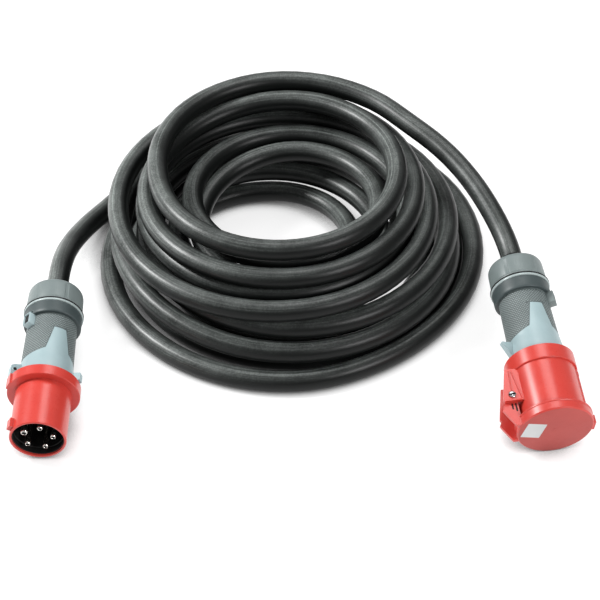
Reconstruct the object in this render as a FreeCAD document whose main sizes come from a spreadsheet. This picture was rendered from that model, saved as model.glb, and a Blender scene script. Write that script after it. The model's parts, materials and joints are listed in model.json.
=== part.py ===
"""Shore power extension lead: 63 A five-pin plug, five-pin connector with a spring lid, 15 m of rubber cable.

Millimetres, +Z up, the floor at Z = 0. The origin is the floor point midway between the two ends.
The plug and the connector are modelled about their own Z axis, which runs from the mouth (Z = 0) back
to the cable, with local Y up. Each piece then gets its end's placement on the floor.
"""
import FreeCAD, Part
import math
import os

import Sketcher
from FreeCAD import Placement, Rotation, Vector

doc = FreeCAD.newDocument("ShorePowerLead")

# Driving dimensions: name, value, what it is
DRIVING_SIZES = [
    ("cable_diameter", 28.0, "outer diameter of the five-core rubber cable"),
    ("sleeve_radius", 35.5, "outside radius of the plug's sleeve, the 63 A size"),
    ("sleeve_wall", 3.0, "wall of the plug's sleeve"),
    ("sleeve_depth", 69.0, "from the sleeve's mouth to the front of its flange"),
    ("flange_radius", 46.0, "outside radius of the plug's flange"),
    ("flange_width", 15.0, "thickness of the plug's flange"),
    ("edge_chamfer", 0.8, "chamfer on moulded edges"),
    ("key_width", 9.5, "width of the key on the sleeve"),
    ("key_height", 5.0, "how far the key stands out of the sleeve"),
    ("key_length", 13.0, "length of the key along the sleeve"),
    ("key_setback", 3.0, "from the mouth to the key"),
    ("key_gap", 0.4, "clearance of the key in its keyway, each side"),
    ("contact_circle", 19.0, "radius of the circle the contacts stand on"),
    ("earth_radius", 5.0, "radius of the earth pin"),
    ("phase_radius", 4.0, "radius of the other pins"),
    ("pin_setback", 2.5, "from the mouth to the pins' tips"),
    ("shank_step", 0.5, "how much thinner a pin is inside the carrier"),
    ("pin_gap", 0.05, "radial clearance of a pin in its bore or contact sleeve"),
    ("carrier_gap", 0.1, "radial clearance of a contact carrier"),
    ("lining_wall", 1.5, "wall of the black lining inside the plug's sleeve"),
    ("lining_front", 12.0, "from the sleeve's mouth to that lining"),
    ("carrier_setback", 50.0, "from the plug's mouth to its carrier"),
    ("shoulder_width", 4.0, "thickness of the shoulder that holds a carrier"),
    ("spigot_radius", 31.0, "outside radius of the spigot that enters the housing"),
    ("spigot_wall", 2.0, "wall of that spigot"),
    ("spigot_length", 10.0, "length of that spigot"),
    ("terminal_radius", 6.5, "radius of a terminal body"),
    ("terminal_length", 30.0, "length of a terminal body"),
    ("terminal_bore_depth", 14.0, "depth of the hole for the core"),
    ("terminal_overhang", 2.0, "how far terminals stand out of the carrier"),
    ("screw_radius", 3.0, "radius of a terminal screw"),
    ("screw_length", 5.4, "length of a terminal screw"),
    ("screw_setback", 6.0, "from the terminal's end to its screw"),
    ("core_radius", 3.6, "radius of an insulated core"),
    ("core_circle", 6.8, "radius of the circle of the five cores inside the jacket"),
    ("housing_radius", 36.0, "outside radius of the housing at its front"),
    ("housing_taper", 2.2, "how much narrower the housing is where the grip starts"),
    ("housing_wall", 3.0, "wall of the housing under the grip"),
    ("neck_radius", 29.5, "outside radius of the housing under the grip and of its neck"),
    ("bare_length", 28.0, "from the housing's front to the grip, at the sides"),
    ("shoulder_rise", 10.0, "how much further back the grip starts beside the tongue"),
    ("grip_thickness", 3.6, "thickness of the grip at its front"),
    ("grip_taper", 1.6, "how much thinner the grip is at its back"),
    ("grip_length", 68.0, "from the grip's front to its collar"),
    ("collar_radius", 37.0, "outside radius of the grip's collar"),
    ("collar_width", 20.0, "width of the grip's collar"),
    ("lip_proud", 1.4, "how far the lip at the collar's back stands out"),
    ("lip_width", 3.5, "width of that lip"),
    ("bush_depth", 12.0, "how far the gland bush reaches into the collar"),
    ("tongue_length", 35.0, "how far the housing's tongue runs into the grip"),
    ("tongue_root", 31.0, "width of the tongue where it starts"),
    ("tongue_tip", 16.0, "width of the tongue at its end"),
    ("tongue_proud", 0.3, "how far the tongue stands above the grip"),
    ("ring_width", 2.0, "width of the sealing rings"),
    ("gland_shoulder", 4.0, "thickness of the shoulder under the gland seal"),
    ("gland_bore", 20.0, "radius of the hole in that shoulder"),
    ("seal_width", 14.0, "width of the gland seal"),
    ("seal_gap", 0.2, "radial clearance of the gland seal in the housing"),
    ("clamp_width", 10.0, "width of the clamp ring"),
    ("clamp_gap", 0.6, "radial clearance of the clamp ring round the cable"),
    ("nut_radius", 36.6, "outside radius of the gland nut"),
    ("nut_taper", 0.8, "how much narrower the nut is at its back"),
    ("nut_length", 34.0, "length of the gland nut"),
    ("nut_gap", 0.2, "radial clearance of the nut's thread on the neck"),
    ("thread_length", 16.0, "how far the neck reaches into the nut"),
    ("nut_bore_gap", 1.0, "radial clearance of the nut round the cable"),
    ("nut_flare", 4.0, "how much the nut's bore opens at its back"),
    ("slide_width", 13.0, "width of the nut lock's slide"),
    ("slide_length", 17.0, "length of that slide"),
    ("slide_height", 10.0, "height of that slide, from its floor in the grip"),
    ("slide_travel", 3.5, "travel of that slide"),
    ("slide_gap", 0.2, "clearance round that slide"),
    ("body_radius", 42.5, "outside radius of the connector's body"),
    ("body_depth", 95.0, "from the connector's mouth to the back of its collar"),
    ("body_collar_proud", 2.5, "how far the collar stands out of the connector's body"),
    ("body_collar_width", 21.0, "width of that collar"),
    ("socket_wall", 6.2, "wall of the connector's body, which leaves room for the plug's sleeve"),
    ("socket_gap", 0.8, "radial clearance of the sleeve in the connector"),
    ("socket_extra", 3.0, "how much deeper the connector is than the sleeve is long"),
    ("insert_gap", 1.0, "radial clearance between connector insert and sleeve"),
    ("insert_setback", 3.0, "from the connector's mouth to its insert"),
    ("contact_wall", 2.0, "wall of a contact sleeve"),
    ("contact_setback", 3.0, "from the insert's face to the contact sleeves"),
    ("contact_depth", 58.0, "depth of a contact sleeve's bore"),
    ("lid_overhang", 6.0, "how far the lid stands out past the connector's body"),
    ("lid_thickness", 3.5, "thickness of the lid's plate"),
    ("lid_skirt_wall", 2.0, "wall of the lid's skirt"),
    ("lid_skirt_depth", 9.0, "how far the lid's skirt passes the mouth"),
    ("gasket_width", 5.0, "radial width of the lid's gasket"),
    ("gasket_thickness", 1.5, "thickness of the lid's gasket"),
    ("hinge_reach", 6.0, "from the outside of the connector's body to the hinge pin"),
    ("hinge_setback", 37.0, "from the mouth to the hinge pin"),
    ("hinge_pin_radius", 2.4, "radius of the hinge pin"),
    ("hinge_gap", 0.06, "radial clearance of the lid on the hinge pin"),
    ("hinge_space", 40.0, "distance between the two hinge lugs"),
    ("lug_thickness", 4.0, "thickness of a hinge lug"),
    ("arm_thickness", 4.0, "thickness of a lid arm"),
    ("spring_wire", 0.6, "radius of the lid spring's wire"),
    ("spring_radius", 3.2, "mean radius of the lid spring"),
    ("spring_pitch", 1.5, "pitch of the lid spring"),
    ("spring_body_leg", 13.0, "length of the spring's leg on the body"),
    ("spring_lid_leg", 10.0, "length of the spring's leg on the lid"),
    ("label_width", 25.0, "width of the blank label"),
    ("label_height", 29.0, "height of the blank label"),
    ("label_thickness", 0.3, "thickness of the blank label"),
    ("plug_left", -321.0, "X of the plug's mouth"),
    ("plug_front", -130.2, "Y of the plug's mouth"),
    ("plug_yaw", -1.5, "degrees that the plug points away from -Y, towards +X"),
    ("plug_tilt", 6.0, "degrees that the plug points down"),
    ("connector_right", 316.4, "X of the connector's mouth"),
    ("connector_front", -116.1, "Y of the connector's mouth"),
    ("connector_yaw", 8.5, "degrees that the connector points away from -Y, towards +X"),
    ("connector_tilt", 10.5, "degrees that the connector points down"),
    ("coil_centre_left", -9.9, "X of the coil's centre on the floor"),
    ("coil_centre_back", 243.4, "Y of the coil's centre"),
    ("coil_lean", -18.0, "how far the top of the coil has moved along X"),
    ("coil_start_angle", 140.0, "degrees where the cable enters the coil"),
    ("coil_wander", 3.0, "how far the loose turns wander from their centre"),
    ("layer_clearance", 0.8, "gap between one layer of the coil and the next"),
    ("coil_floor_radius", 264.0, "radius where the cable enters the coil, on the floor"),
    ("coil_inner_radius", 116.0, "radius where the first layer ends, at the hole"),
    ("coil_second_radius", 236.0, "radius where the second layer ends, outside"),
    ("coil_third_radius", 118.0, "radius where the third layer ends, at the hole"),
    ("coil_fourth_radius", 206.0, "radius where the fourth layer ends, outside"),
    ("coil_fifth_radius", 146.0, "radius where the fifth layer ends, inside"),
    ("coil_leave_radius", 205.0, "radius where the cable leaves the coil, on top"),
    ("plug_tail_straight", 42.0, "how far the cable runs straight on from the plug's nut"),
    ("plug_rise_left", -313.0, "X of the plug tail's first bend"),
    ("plug_rise_back", 222.0, "Y of that bend"),
    ("plug_rise_height", 54.0, "height of that bend"),
    ("plug_land_left", -292.0, "X of the plug tail's second bend"),
    ("plug_land_back", 293.0, "Y of that bend"),
    ("plug_land_height", 28.0, "height of that bend"),
    ("plug_tail_lead", 60.0, "how far the plug's tail runs straight into the coil"),
    ("connector_tail_straight", 32.0, "how far the cable runs straight on from the connector's nut"),
    ("connector_fall_right", 259.0, "X of the connector tail's first bend"),
    ("connector_fall_back", 229.0, "Y of that bend"),
    ("connector_fall_height", 112.0, "height of that bend"),
    ("connector_leave_right", 219.0, "X of the connector tail's second bend"),
    ("connector_leave_back", 291.0, "Y of that bend"),
    ("connector_leave_height", 143.0, "height of that bend"),
    ("connector_tail_lead", 55.0, "how far the connector's tail runs straight out of the coil"),
]

# Degrees round the axis, measured from local +X towards local +Y
KEY_ANGLE = 30.0
CONTACT_STEP = 72.0
PLUG_TONGUE_ANGLE = 119.0
PLUG_SLIDE_ANGLE = 42.0
CONNECTOR_TONGUE_ANGLE = 105.0
CONNECTOR_SLIDE_ANGLE = 160.0
HINGE_ANGLE = 0.0
EARTH_FIRST = ("earth", "l1", "l2", "l3", "neutral")


class Dim:
    """A size with its number and the expression that binds it to the sheet."""

    def __init__(self, text, value):
        self.text = text
        self.value = float(value)

    @staticmethod
    def of(other):
        return other if isinstance(other, Dim) else Dim(repr(float(other)), other)

    def __add__(self, other):
        other = Dim.of(other)
        return Dim(f"({self.text} + {other.text})", self.value + other.value)

    def __radd__(self, other):
        return Dim.of(other) + self

    def __sub__(self, other):
        other = Dim.of(other)
        return Dim(f"({self.text} - {other.text})", self.value - other.value)

    def __rsub__(self, other):
        return Dim.of(other) - self

    def __mul__(self, other):
        other = Dim.of(other)
        return Dim(f"({self.text} * {other.text})", self.value * other.value)

    def __rmul__(self, other):
        return Dim.of(other) * self

    def __truediv__(self, other):
        other = Dim.of(other)
        return Dim(f"({self.text} / {other.text})", self.value / other.value)

    def __neg__(self):
        return Dim(f"(0 - {self.text})", -self.value)

    def __float__(self):
        return self.value


class SizeSheet:
    """The spreadsheet of driving dimensions; each is read back as an attribute."""

    def __init__(self, rows):
        sheet = doc.addObject("Spreadsheet::Sheet", "Sizes")
        for number, (name, value, meaning) in enumerate(rows, start=1):
            sheet.set(f"A{number}", name)
            sheet.set(f"B{number}", str(value))
            sheet.set(f"C{number}", meaning)
            sheet.setAlias(f"B{number}", name)
        doc.recompute()
        for name, _, _ in rows:
            setattr(self, name, Dim(f"Sizes.{name}", sheet.get(name)))


size = SizeSheet(DRIVING_SIZES)
nodes = {}

# The lid, the collar and the hinge keep their distance from the connector's body
body_collar_radius = size.body_radius + size.body_collar_proud
lid_radius = size.body_radius + size.lid_overhang
hinge_offset = size.body_radius + size.hinge_reach


def bind(feature, prop, value):
    """Tie a property to the sheet."""
    feature.setExpression(prop, Dim.of(value).text)


def polar(radius, degrees):
    """X and Y of a point at a radius and an angle."""
    radius = Dim.of(radius)
    angle = math.radians(degrees)
    x = Dim(f"({radius.text} * cos({degrees} deg))", radius.value * math.cos(angle))
    y = Dim(f"({radius.text} * sin({degrees} deg))", radius.value * math.sin(angle))
    return x, y


def place(feature, x=0.0, y=0.0, z=0.0, rotation=None):
    """Put a helper shape at x, y, z in the piece's own frame, tied to the sheet."""
    feature.Placement = Placement(Vector(float(x), float(y), float(z)), rotation or Rotation())
    for axis, value in (("x", x), ("y", y), ("z", z)):
        if isinstance(value, Dim):
            bind(feature, f"Placement.Base.{axis}", value)
    return feature


def outline_sketch(body, name, points, plane_role):
    """A closed outline in one of the body's own planes, every corner tied to the sheet."""
    sketch = body.newObject("Sketcher::SketchObject", name)
    plane = next(item for item in body.Origin.OriginFeatures if item.Role == plane_role)
    sketch.AttachmentSupport = (plane, [""])
    sketch.MapMode = "FlatFace"
    doc.recompute()
    corners = [(Dim.of(across), Dim.of(along)) for across, along in points]
    count = len(corners)
    for index in range(count):
        start = corners[index]
        end = corners[(index + 1) % count]
        line = Part.LineSegment(
            Vector(start[0].value, start[1].value, 0), Vector(end[0].value, end[1].value, 0)
        )
        sketch.addGeometry(line, False)
    for index in range(count):
        sketch.addConstraint(Sketcher.Constraint("Coincident", index, 2, (index + 1) % count, 1))
    for index, corner in enumerate(corners):
        for kind, value, axis in (("DistanceX", corner[0], -2), ("DistanceY", corner[1], -1)):
            if value.value == 0.0:
                sketch.addConstraint(Sketcher.Constraint("PointOnObject", index, 1, axis))
                continue
            number = sketch.addConstraint(
                Sketcher.Constraint(kind, -1, 1, index, 1, value.value)
            )
            sketch.setExpression(f"Constraints[{number}]", value.text)
    return sketch


def turned(name, profile):
    """A body turned about its own Z axis from corners given as (radius, depth)."""
    body = doc.addObject("PartDesign::Body", name)
    sketch = outline_sketch(body, f"{name}_profile", profile, "XZ_Plane")
    revolution = body.newObject("PartDesign::Revolution", f"{name}_turning")
    revolution.Profile = sketch
    revolution.ReferenceAxis = (sketch, ["V_Axis"])
    revolution.Angle = 360
    doc.recompute()
    return body


def plate(name, outline, thickness, middle=0.0, plane_role="XZ_Plane"):
    """A flat plate: an outline, given as (X, Z) unless another plane is named, padded both ways."""
    body = doc.addObject("PartDesign::Body", name)
    sketch = outline_sketch(body, f"{name}_outline", outline, plane_role)
    pad = body.newObject("PartDesign::Pad", f"{name}_pad")
    pad.Profile = sketch
    pad.Midplane = True
    bind(pad, "Length", thickness)
    doc.recompute()
    if plane_role == "XZ_Plane":
        place(body, y=Dim.of(middle))
    return body


def rod(name, radius, length, x=0.0, y=0.0, z=0.0, rotation=None):
    """A round rod along Z, or along the direction that the rotation gives."""
    cylinder = doc.addObject("Part::Cylinder", name)
    bind(cylinder, "Radius", radius)
    bind(cylinder, "Height", length)
    return place(cylinder, x, y, z, rotation)


def block(name, radial, tangential, axial, degrees):
    """A block that spans radial (from, to), a width and axial (from, to), turned round the axis."""
    box = doc.addObject("Part::Box", name)
    bind(box, "Length", Dim.of(radial[1]) - radial[0])
    bind(box, "Width", tangential)
    bind(box, "Height", Dim.of(axial[1]) - axial[0])
    angle = math.radians(degrees)
    inner = Dim.of(radial[0])
    half = Dim.of(tangential) / 2
    x = inner * math.cos(angle) + half * math.sin(angle)
    y = inner * math.sin(angle) - half * math.cos(angle)
    return place(box, x, y, Dim.of(axial[0]), Rotation(Vector(0, 0, 1), degrees))


def fused(name, *pieces):
    """One solid from several."""
    fuse = doc.addObject("Part::MultiFuse", name)
    fuse.Shapes = list(pieces)
    return fuse


def cut(name, base, *tools):
    """The base without the tools."""
    result = doc.addObject("Part::Cut", name)
    result.Base = base
    result.Tool = tools[0] if len(tools) == 1 else fused(f"{name}_tools", *tools)
    return result


def common(name, first, second):
    """What two shapes share."""
    result = doc.addObject("Part::Common", name)
    result.Base = first
    result.Tool = second
    return result


def node(name, feature, placement=None):
    """Name a finished piece and put it in its place on the floor."""
    feature.Label = name
    if placement is not None:
        feature.Placement = placement
    nodes[name] = feature


def shaped(name, shape, placement=None):
    """A finished piece whose shape is worked out here."""
    feature = doc.addObject("Part::Feature", name)
    feature.Shape = shape
    node(name, feature, placement)


def end_placement(x, y, z, yaw_degrees, tilt_degrees):
    """Placement whose local Z runs back from a mouth that points along -Y, yawed and nose down."""
    yaw = math.radians(yaw_degrees)
    tilt = math.radians(tilt_degrees)
    back = Vector(-math.cos(tilt) * math.sin(yaw), math.cos(tilt) * math.cos(yaw), math.sin(tilt))
    up = Vector(math.sin(tilt) * math.sin(yaw), -math.sin(tilt) * math.cos(yaw), math.cos(tilt))
    side = up.cross(back)
    return Placement(Vector(x, y, z), Rotation(side, up, back, "ZYX"))


def contact_angle(first_angle, index, turn):
    """Angle of one contact; the two ends count in opposite senses so that they mate."""
    return (first_angle + turn * CONTACT_STEP * index) % 360.0


def arc_between(start, tangent, end, reach):
    """The arc that leaves `start` along `tangent` and ends at `end`; `reach` is its tangent length."""
    middle = (start + end) * 0.5
    corner = start + tangent * reach
    half_chord = (end - start).Length / 2
    rise = (corner - middle).Length
    if rise < 1e-7:
        return Part.LineSegment(start, end).toShape()
    half_turn = math.atan2(rise, half_chord)
    depth = half_chord * math.tan(half_turn / 2)
    return Part.Arc(start, middle + (corner - middle) * (depth / rise), end).toShape()


def biarc(start, start_tangent, end, end_tangent):
    """Two arcs that join two points with their tangents."""
    span = end - start
    both = start_tangent + end_tangent
    spread = 2 * (1 - start_tangent.dot(end_tangent))
    along = span.dot(both)
    if abs(spread) < 1e-9:
        reach = span.dot(span) / (2 * along)
    else:
        reach = (-along + math.sqrt(along * along + spread * span.dot(span))) / spread
    joint = (start + start_tangent * reach + end - end_tangent * reach) * 0.5
    turn = start + start_tangent * reach
    middle_tangent = (joint - turn).normalize()
    return [
        arc_between(start, start_tangent, joint, reach),
        arc_between(joint, middle_tangent, end, reach),
    ]


def tube_along(edges, radius):
    """A round tube along edges that join smoothly."""
    wire = Part.Wire(edges)
    first = edges[0]
    start = first.valueAt(first.FirstParameter)
    direction = first.tangentAt(first.FirstParameter)
    circle = Part.Circle(start, direction, radius).toShape()
    shell = Part.BRepOffsetAPI.MakePipeShell(wire)
    shell.add(Part.Wire([circle]))
    shell.build()
    shell.makeSolid()
    return shell.shape(), wire.Length


def rounded_route(points):
    """Straight runs joined by tangent arcs, each as large as its two runs allow, and their radii."""
    edges = []
    radii = []
    start = points[0]
    for before, corner, after in zip(points, points[1:], points[2:]):
        arriving = (corner - before).normalize()
        leaving = (after - corner).normalize()
        turn = arriving.getAngle(leaving)
        shorter = min((corner - before).Length, (after - corner).Length)
        setback = 0.45 * shorter
        radii.append(setback / math.tan(turn / 2))
        arc_start = corner - arriving * setback
        arc_end = corner + leaving * setback
        edges.append(Part.LineSegment(start, arc_start).toShape())
        edges.append(arc_between(arc_start, arriving, arc_end, setback))
        start = arc_end
    edges.append(Part.LineSegment(start, points[-1]).toShape())
    return edges, radii


def route_tube(name, points, radius, placement=None):
    """A tube along a route, with its radii and its volume against section times length printed."""
    edges, radii = rounded_route(points)
    solid, length = tube_along(edges, radius)
    expected = math.pi * radius * radius * length
    print(f"{name}: length {length:.1f}, volume ratio {solid.Volume / expected:.4f}, radii "
          + " ".join(f"{value:.0f}" for value in radii))
    shaped(name, solid, placement)
    return length


def rear_parts(end, seat, placement, tongue_angle, slide_angle):
    """The pieces behind the coloured front, alike on both ends. `seat` is the housing's front plane."""
    cable_radius = size.cable_diameter / 2
    bore = size.neck_radius - size.housing_wall
    grip_front = seat + size.bare_length
    collar_front = grip_front + size.grip_length
    collar_back = collar_front + size.collar_width
    nut_front = collar_back + size.ring_width
    neck_end = nut_front + size.thread_length
    seal_back = neck_end + size.ring_width
    seal_front = seal_back - size.seal_width
    clamp_back = seal_back + size.clamp_width
    nut_back = nut_front + size.nut_length
    bush_front = collar_back - size.bush_depth
    groove_inner = size.spigot_radius + 1.0
    groove_outer = groove_inner + size.ring_width
    grip_outer = size.neck_radius + size.grip_thickness
    grip_inner = size.neck_radius
    root = groove_outer + 0.5
    spigot_bore = size.spigot_radius + size.carrier_gap
    side = size.neck_radius + size.grip_thickness + 4.0
    tongue_front = grip_front + size.shoulder_rise

    prism = plate(
        f"{end}_tongue_prism",
        [
            (-side, grip_front - 1.0),
            (side, grip_front - 1.0),
            (side, grip_front),
            (size.tongue_root / 2, tongue_front),
            (size.tongue_tip / 2, tongue_front + size.tongue_length),
            (-size.tongue_tip / 2, tongue_front + size.tongue_length),
            (-size.tongue_root / 2, tongue_front),
            (-side, grip_front),
        ],
        side,
    )
    # The prism reaches from the axis outwards, along its own angle
    out_x, out_y = polar(side / 2, tongue_angle)
    place(prism, out_x, out_y, 0.0, Rotation(Vector(0, 0, 1), tongue_angle - 90))

    shell = turned(
        f"{end}_housing_shell",
        [
            (spigot_bore, seat),
            (groove_inner, seat),
            (groove_inner, seat + size.ring_width),
            (groove_outer, seat + size.ring_width),
            (groove_outer, seat),
            (size.housing_radius, seat),
            (size.housing_radius, seat + size.bare_length * 0.15),
            (size.housing_radius - size.housing_taper, grip_front),
            (size.neck_radius, grip_front),
            (size.neck_radius, bush_front),
            (bore, bush_front),
            (bore, seat + size.spigot_length + 1.0),
            (spigot_bore, seat + size.spigot_length + 1.0),
        ],
    )
    band = turned(
        f"{end}_tongue_band",
        [
            (size.neck_radius - 1.0, grip_front - 0.5),
            (grip_outer + size.tongue_proud, grip_front - 0.5),
            (grip_outer + size.tongue_proud - size.grip_taper * 0.6, tongue_front + size.tongue_length),
            (size.neck_radius - 1.0, tongue_front + size.tongue_length),
        ],
    )
    tongue = common(f"{end}_tongue", band, prism)
    if end == "plug":
        ear = plate(
            "plug_ear_blank",
            [
                (root, seat),
                (size.flange_radius + 1.4, seat),
                (size.flange_radius + 1.4, seat + 15.0),
                (size.flange_radius - 3.0, seat + 18.0),
                (root, seat + 20.0),
            ],
            10.0,
        )
        place(ear, rotation=Rotation(Vector(0, 0, 1), 25.0))
        fin = plate(
            "plug_fin_blank",
            [
                (root, seat),
                (size.flange_radius + 2.0, seat),
                (size.flange_radius + 2.0, seat + 11.0),
                (root, seat + 13.0),
            ],
            8.0,
        )
        place(fin, rotation=Rotation(Vector(0, 0, 1), 165.0))
        housing = fused("plug_housing_fused", shell, tongue, ear, fin)
    else:
        ear = plate(
            "connector_ear_blank",
            [
                (root, seat),
                (size.housing_radius, seat),
                (body_collar_radius + 3.0, seat + 26.0),
                (root, seat + 26.0),
            ],
            7.0,
        )
        place(ear, rotation=Rotation(Vector(0, 0, 1), 20.0))
        housing = fused("connector_housing_fused", shell, tongue, ear)
    node(f"{end}_housing", housing, placement)
    node(
        f"{end}_gland_bush",
        turned(
            f"{end}_gland_bush_ring",
            [
                (bore, bush_front),
                (size.neck_radius, bush_front),
                (size.neck_radius, neck_end),
                (bore, neck_end),
                (bore, seal_front),
                (size.gland_bore, seal_front),
                (size.gland_bore, seal_front - size.gland_shoulder),
                (bore, seal_front - size.gland_shoulder),
            ],
        ),
        placement,
    )

    grip_blank = turned(
        f"{end}_grip_blank",
        [
            (grip_inner, grip_front),
            (grip_outer, grip_front),
            (grip_outer - size.grip_taper, collar_front),
            (size.collar_radius - size.edge_chamfer, collar_front),
            (size.collar_radius, collar_front + size.edge_chamfer * 3),
            (size.collar_radius, collar_back - size.lip_width),
            (size.collar_radius + size.lip_proud, collar_back - size.lip_width + size.edge_chamfer),
            (size.collar_radius + size.lip_proud, collar_back - size.edge_chamfer),
            (size.collar_radius + size.lip_proud - size.edge_chamfer, collar_back),
            (grip_inner, collar_back),
        ],
    )
    slide_floor = size.neck_radius + 1.1
    slide_start = collar_front - size.slide_length + 1.0
    slide_pocket = block(
        f"{end}_slide_pocket",
        (slide_floor, size.collar_radius + 6.0),
        size.slide_width + size.slide_gap * 2,
        (slide_start - size.slide_gap, slide_start + size.slide_length + size.slide_travel + size.slide_gap),
        slide_angle,
    )
    node(f"{end}_grip", cut(f"{end}_grip_cut", grip_blank, prism, slide_pocket), placement)

    slide_block = block(
        f"{end}_slide_block",
        (slide_floor + size.slide_gap / 2, slide_floor + size.slide_height),
        size.slide_width,
        (slide_start, slide_start + size.slide_length),
        slide_angle,
    )
    slide_dimple = block(
        f"{end}_slide_dimple",
        (slide_floor + size.slide_height * 0.6, slide_floor + size.slide_height + 2.0),
        size.slide_width * 0.55,
        (slide_start + size.slide_length * 0.2, slide_start + size.slide_length * 0.65),
        slide_angle,
    )
    node(f"{end}_lock_slide", cut(f"{end}_lock_slide_cut", slide_block, slide_dimple), placement)

    node(
        f"{end}_front_seal",
        turned(
            f"{end}_front_seal_ring",
            [
                (groove_inner, seat),
                (groove_outer, seat),
                (groove_outer, seat + size.ring_width),
                (groove_inner, seat + size.ring_width),
            ],
        ),
        placement,
    )
    node(
        f"{end}_nut_seal",
        turned(
            f"{end}_nut_seal_ring",
            [
                (size.neck_radius, collar_back),
                (size.collar_radius - size.ring_width, collar_back),
                (size.collar_radius - size.ring_width, nut_front),
                (size.neck_radius, nut_front),
            ],
        ),
        placement,
    )
    node(
        f"{end}_gland_seal",
        turned(
            f"{end}_gland_seal_ring",
            [
                (cable_radius, seal_front),
                (bore - size.seal_gap, seal_front),
                (bore - size.seal_gap, seal_back),
                (cable_radius, seal_back),
            ],
        ),
        placement,
    )
    node(
        f"{end}_clamp_ring",
        turned(
            f"{end}_clamp_ring_blank",
            [
                (cable_radius + size.clamp_gap, seal_back),
                (bore - size.seal_gap, seal_back),
                (bore - size.seal_gap, seal_back + size.clamp_width / 3),
                (bore - size.clamp_width / 2, clamp_back),
                (cable_radius + size.clamp_gap, clamp_back),
            ],
        ),
        placement,
    )
    thread = size.neck_radius + size.nut_gap
    nut_bore = cable_radius + size.nut_bore_gap
    nut_turned = turned(
        f"{end}_nut_blank",
        [
            (thread, nut_front),
            (size.nut_radius, nut_front),
            (size.nut_radius, nut_front + size.edge_chamfer * 4),
            (size.nut_radius - size.nut_taper, nut_back - size.edge_chamfer * 7),
            (size.nut_radius - size.nut_taper - size.edge_chamfer * 2, nut_back - size.edge_chamfer * 3),
            (size.nut_radius - size.nut_taper - size.edge_chamfer * 6, nut_back),
            (nut_bore + size.nut_flare, nut_back),
            (nut_bore, nut_back - size.nut_flare * 1.2),
            (nut_bore, clamp_back),
            (thread, clamp_back),
        ],
    )
    facets = doc.addObject("Part::Prism", f"{end}_nut_facets")
    facets.Polygon = 12
    bind(facets, "Circumradius", size.nut_radius + 0.3)
    bind(facets, "Height", size.nut_length + 2.0)
    place(facets, z=nut_front - 1.0)
    node(f"{end}_gland_nut", common(f"{end}_nut_cut", nut_turned, facets), placement)
    return {
        "jacket_start": float(seal_front - size.gland_shoulder) - 2.0,
        "cable_exit": float(nut_back),
    }


def terminal_screws(name, angles, depth, placement):
    """The five screws that hold the cores, one group of separate solids."""
    screws = []
    for index, degrees in enumerate(angles):
        x, y = polar(size.contact_circle + size.core_radius + 0.1, degrees)
        axis = Vector(math.cos(math.radians(degrees)), math.sin(math.radians(degrees)), 0)
        screws.append(
            rod(
                f"{name}_{index + 1}",
                size.screw_radius,
                size.screw_length,
                x,
                y,
                depth,
                Rotation(Vector(0, 0, 1), axis),
            )
        )
    group = doc.addObject("Part::Compound", f"{name}_group")
    group.Links = screws
    node(name, group, placement)


def cores(end, angles, start_depth, end_depth, placement):
    """The five insulated cores, from their terminals to where the jacket starts."""
    for name, degrees in zip(EARTH_FIRST, angles):
        angle = math.radians(degrees)
        outward = Vector(math.cos(angle), math.sin(angle), 0)
        wide = outward * float(size.contact_circle)
        narrow = outward * float(size.core_circle)
        first = start_depth + float(size.terminal_length)
        second = end_depth - float(size.collar_width)
        points = [
            wide + Vector(0, 0, start_depth),
            wide + Vector(0, 0, first),
            narrow + Vector(0, 0, second),
            narrow + Vector(0, 0, end_depth),
        ]
        route_tube(f"{end}_core_{name}", points, float(size.core_radius), placement)


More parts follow.
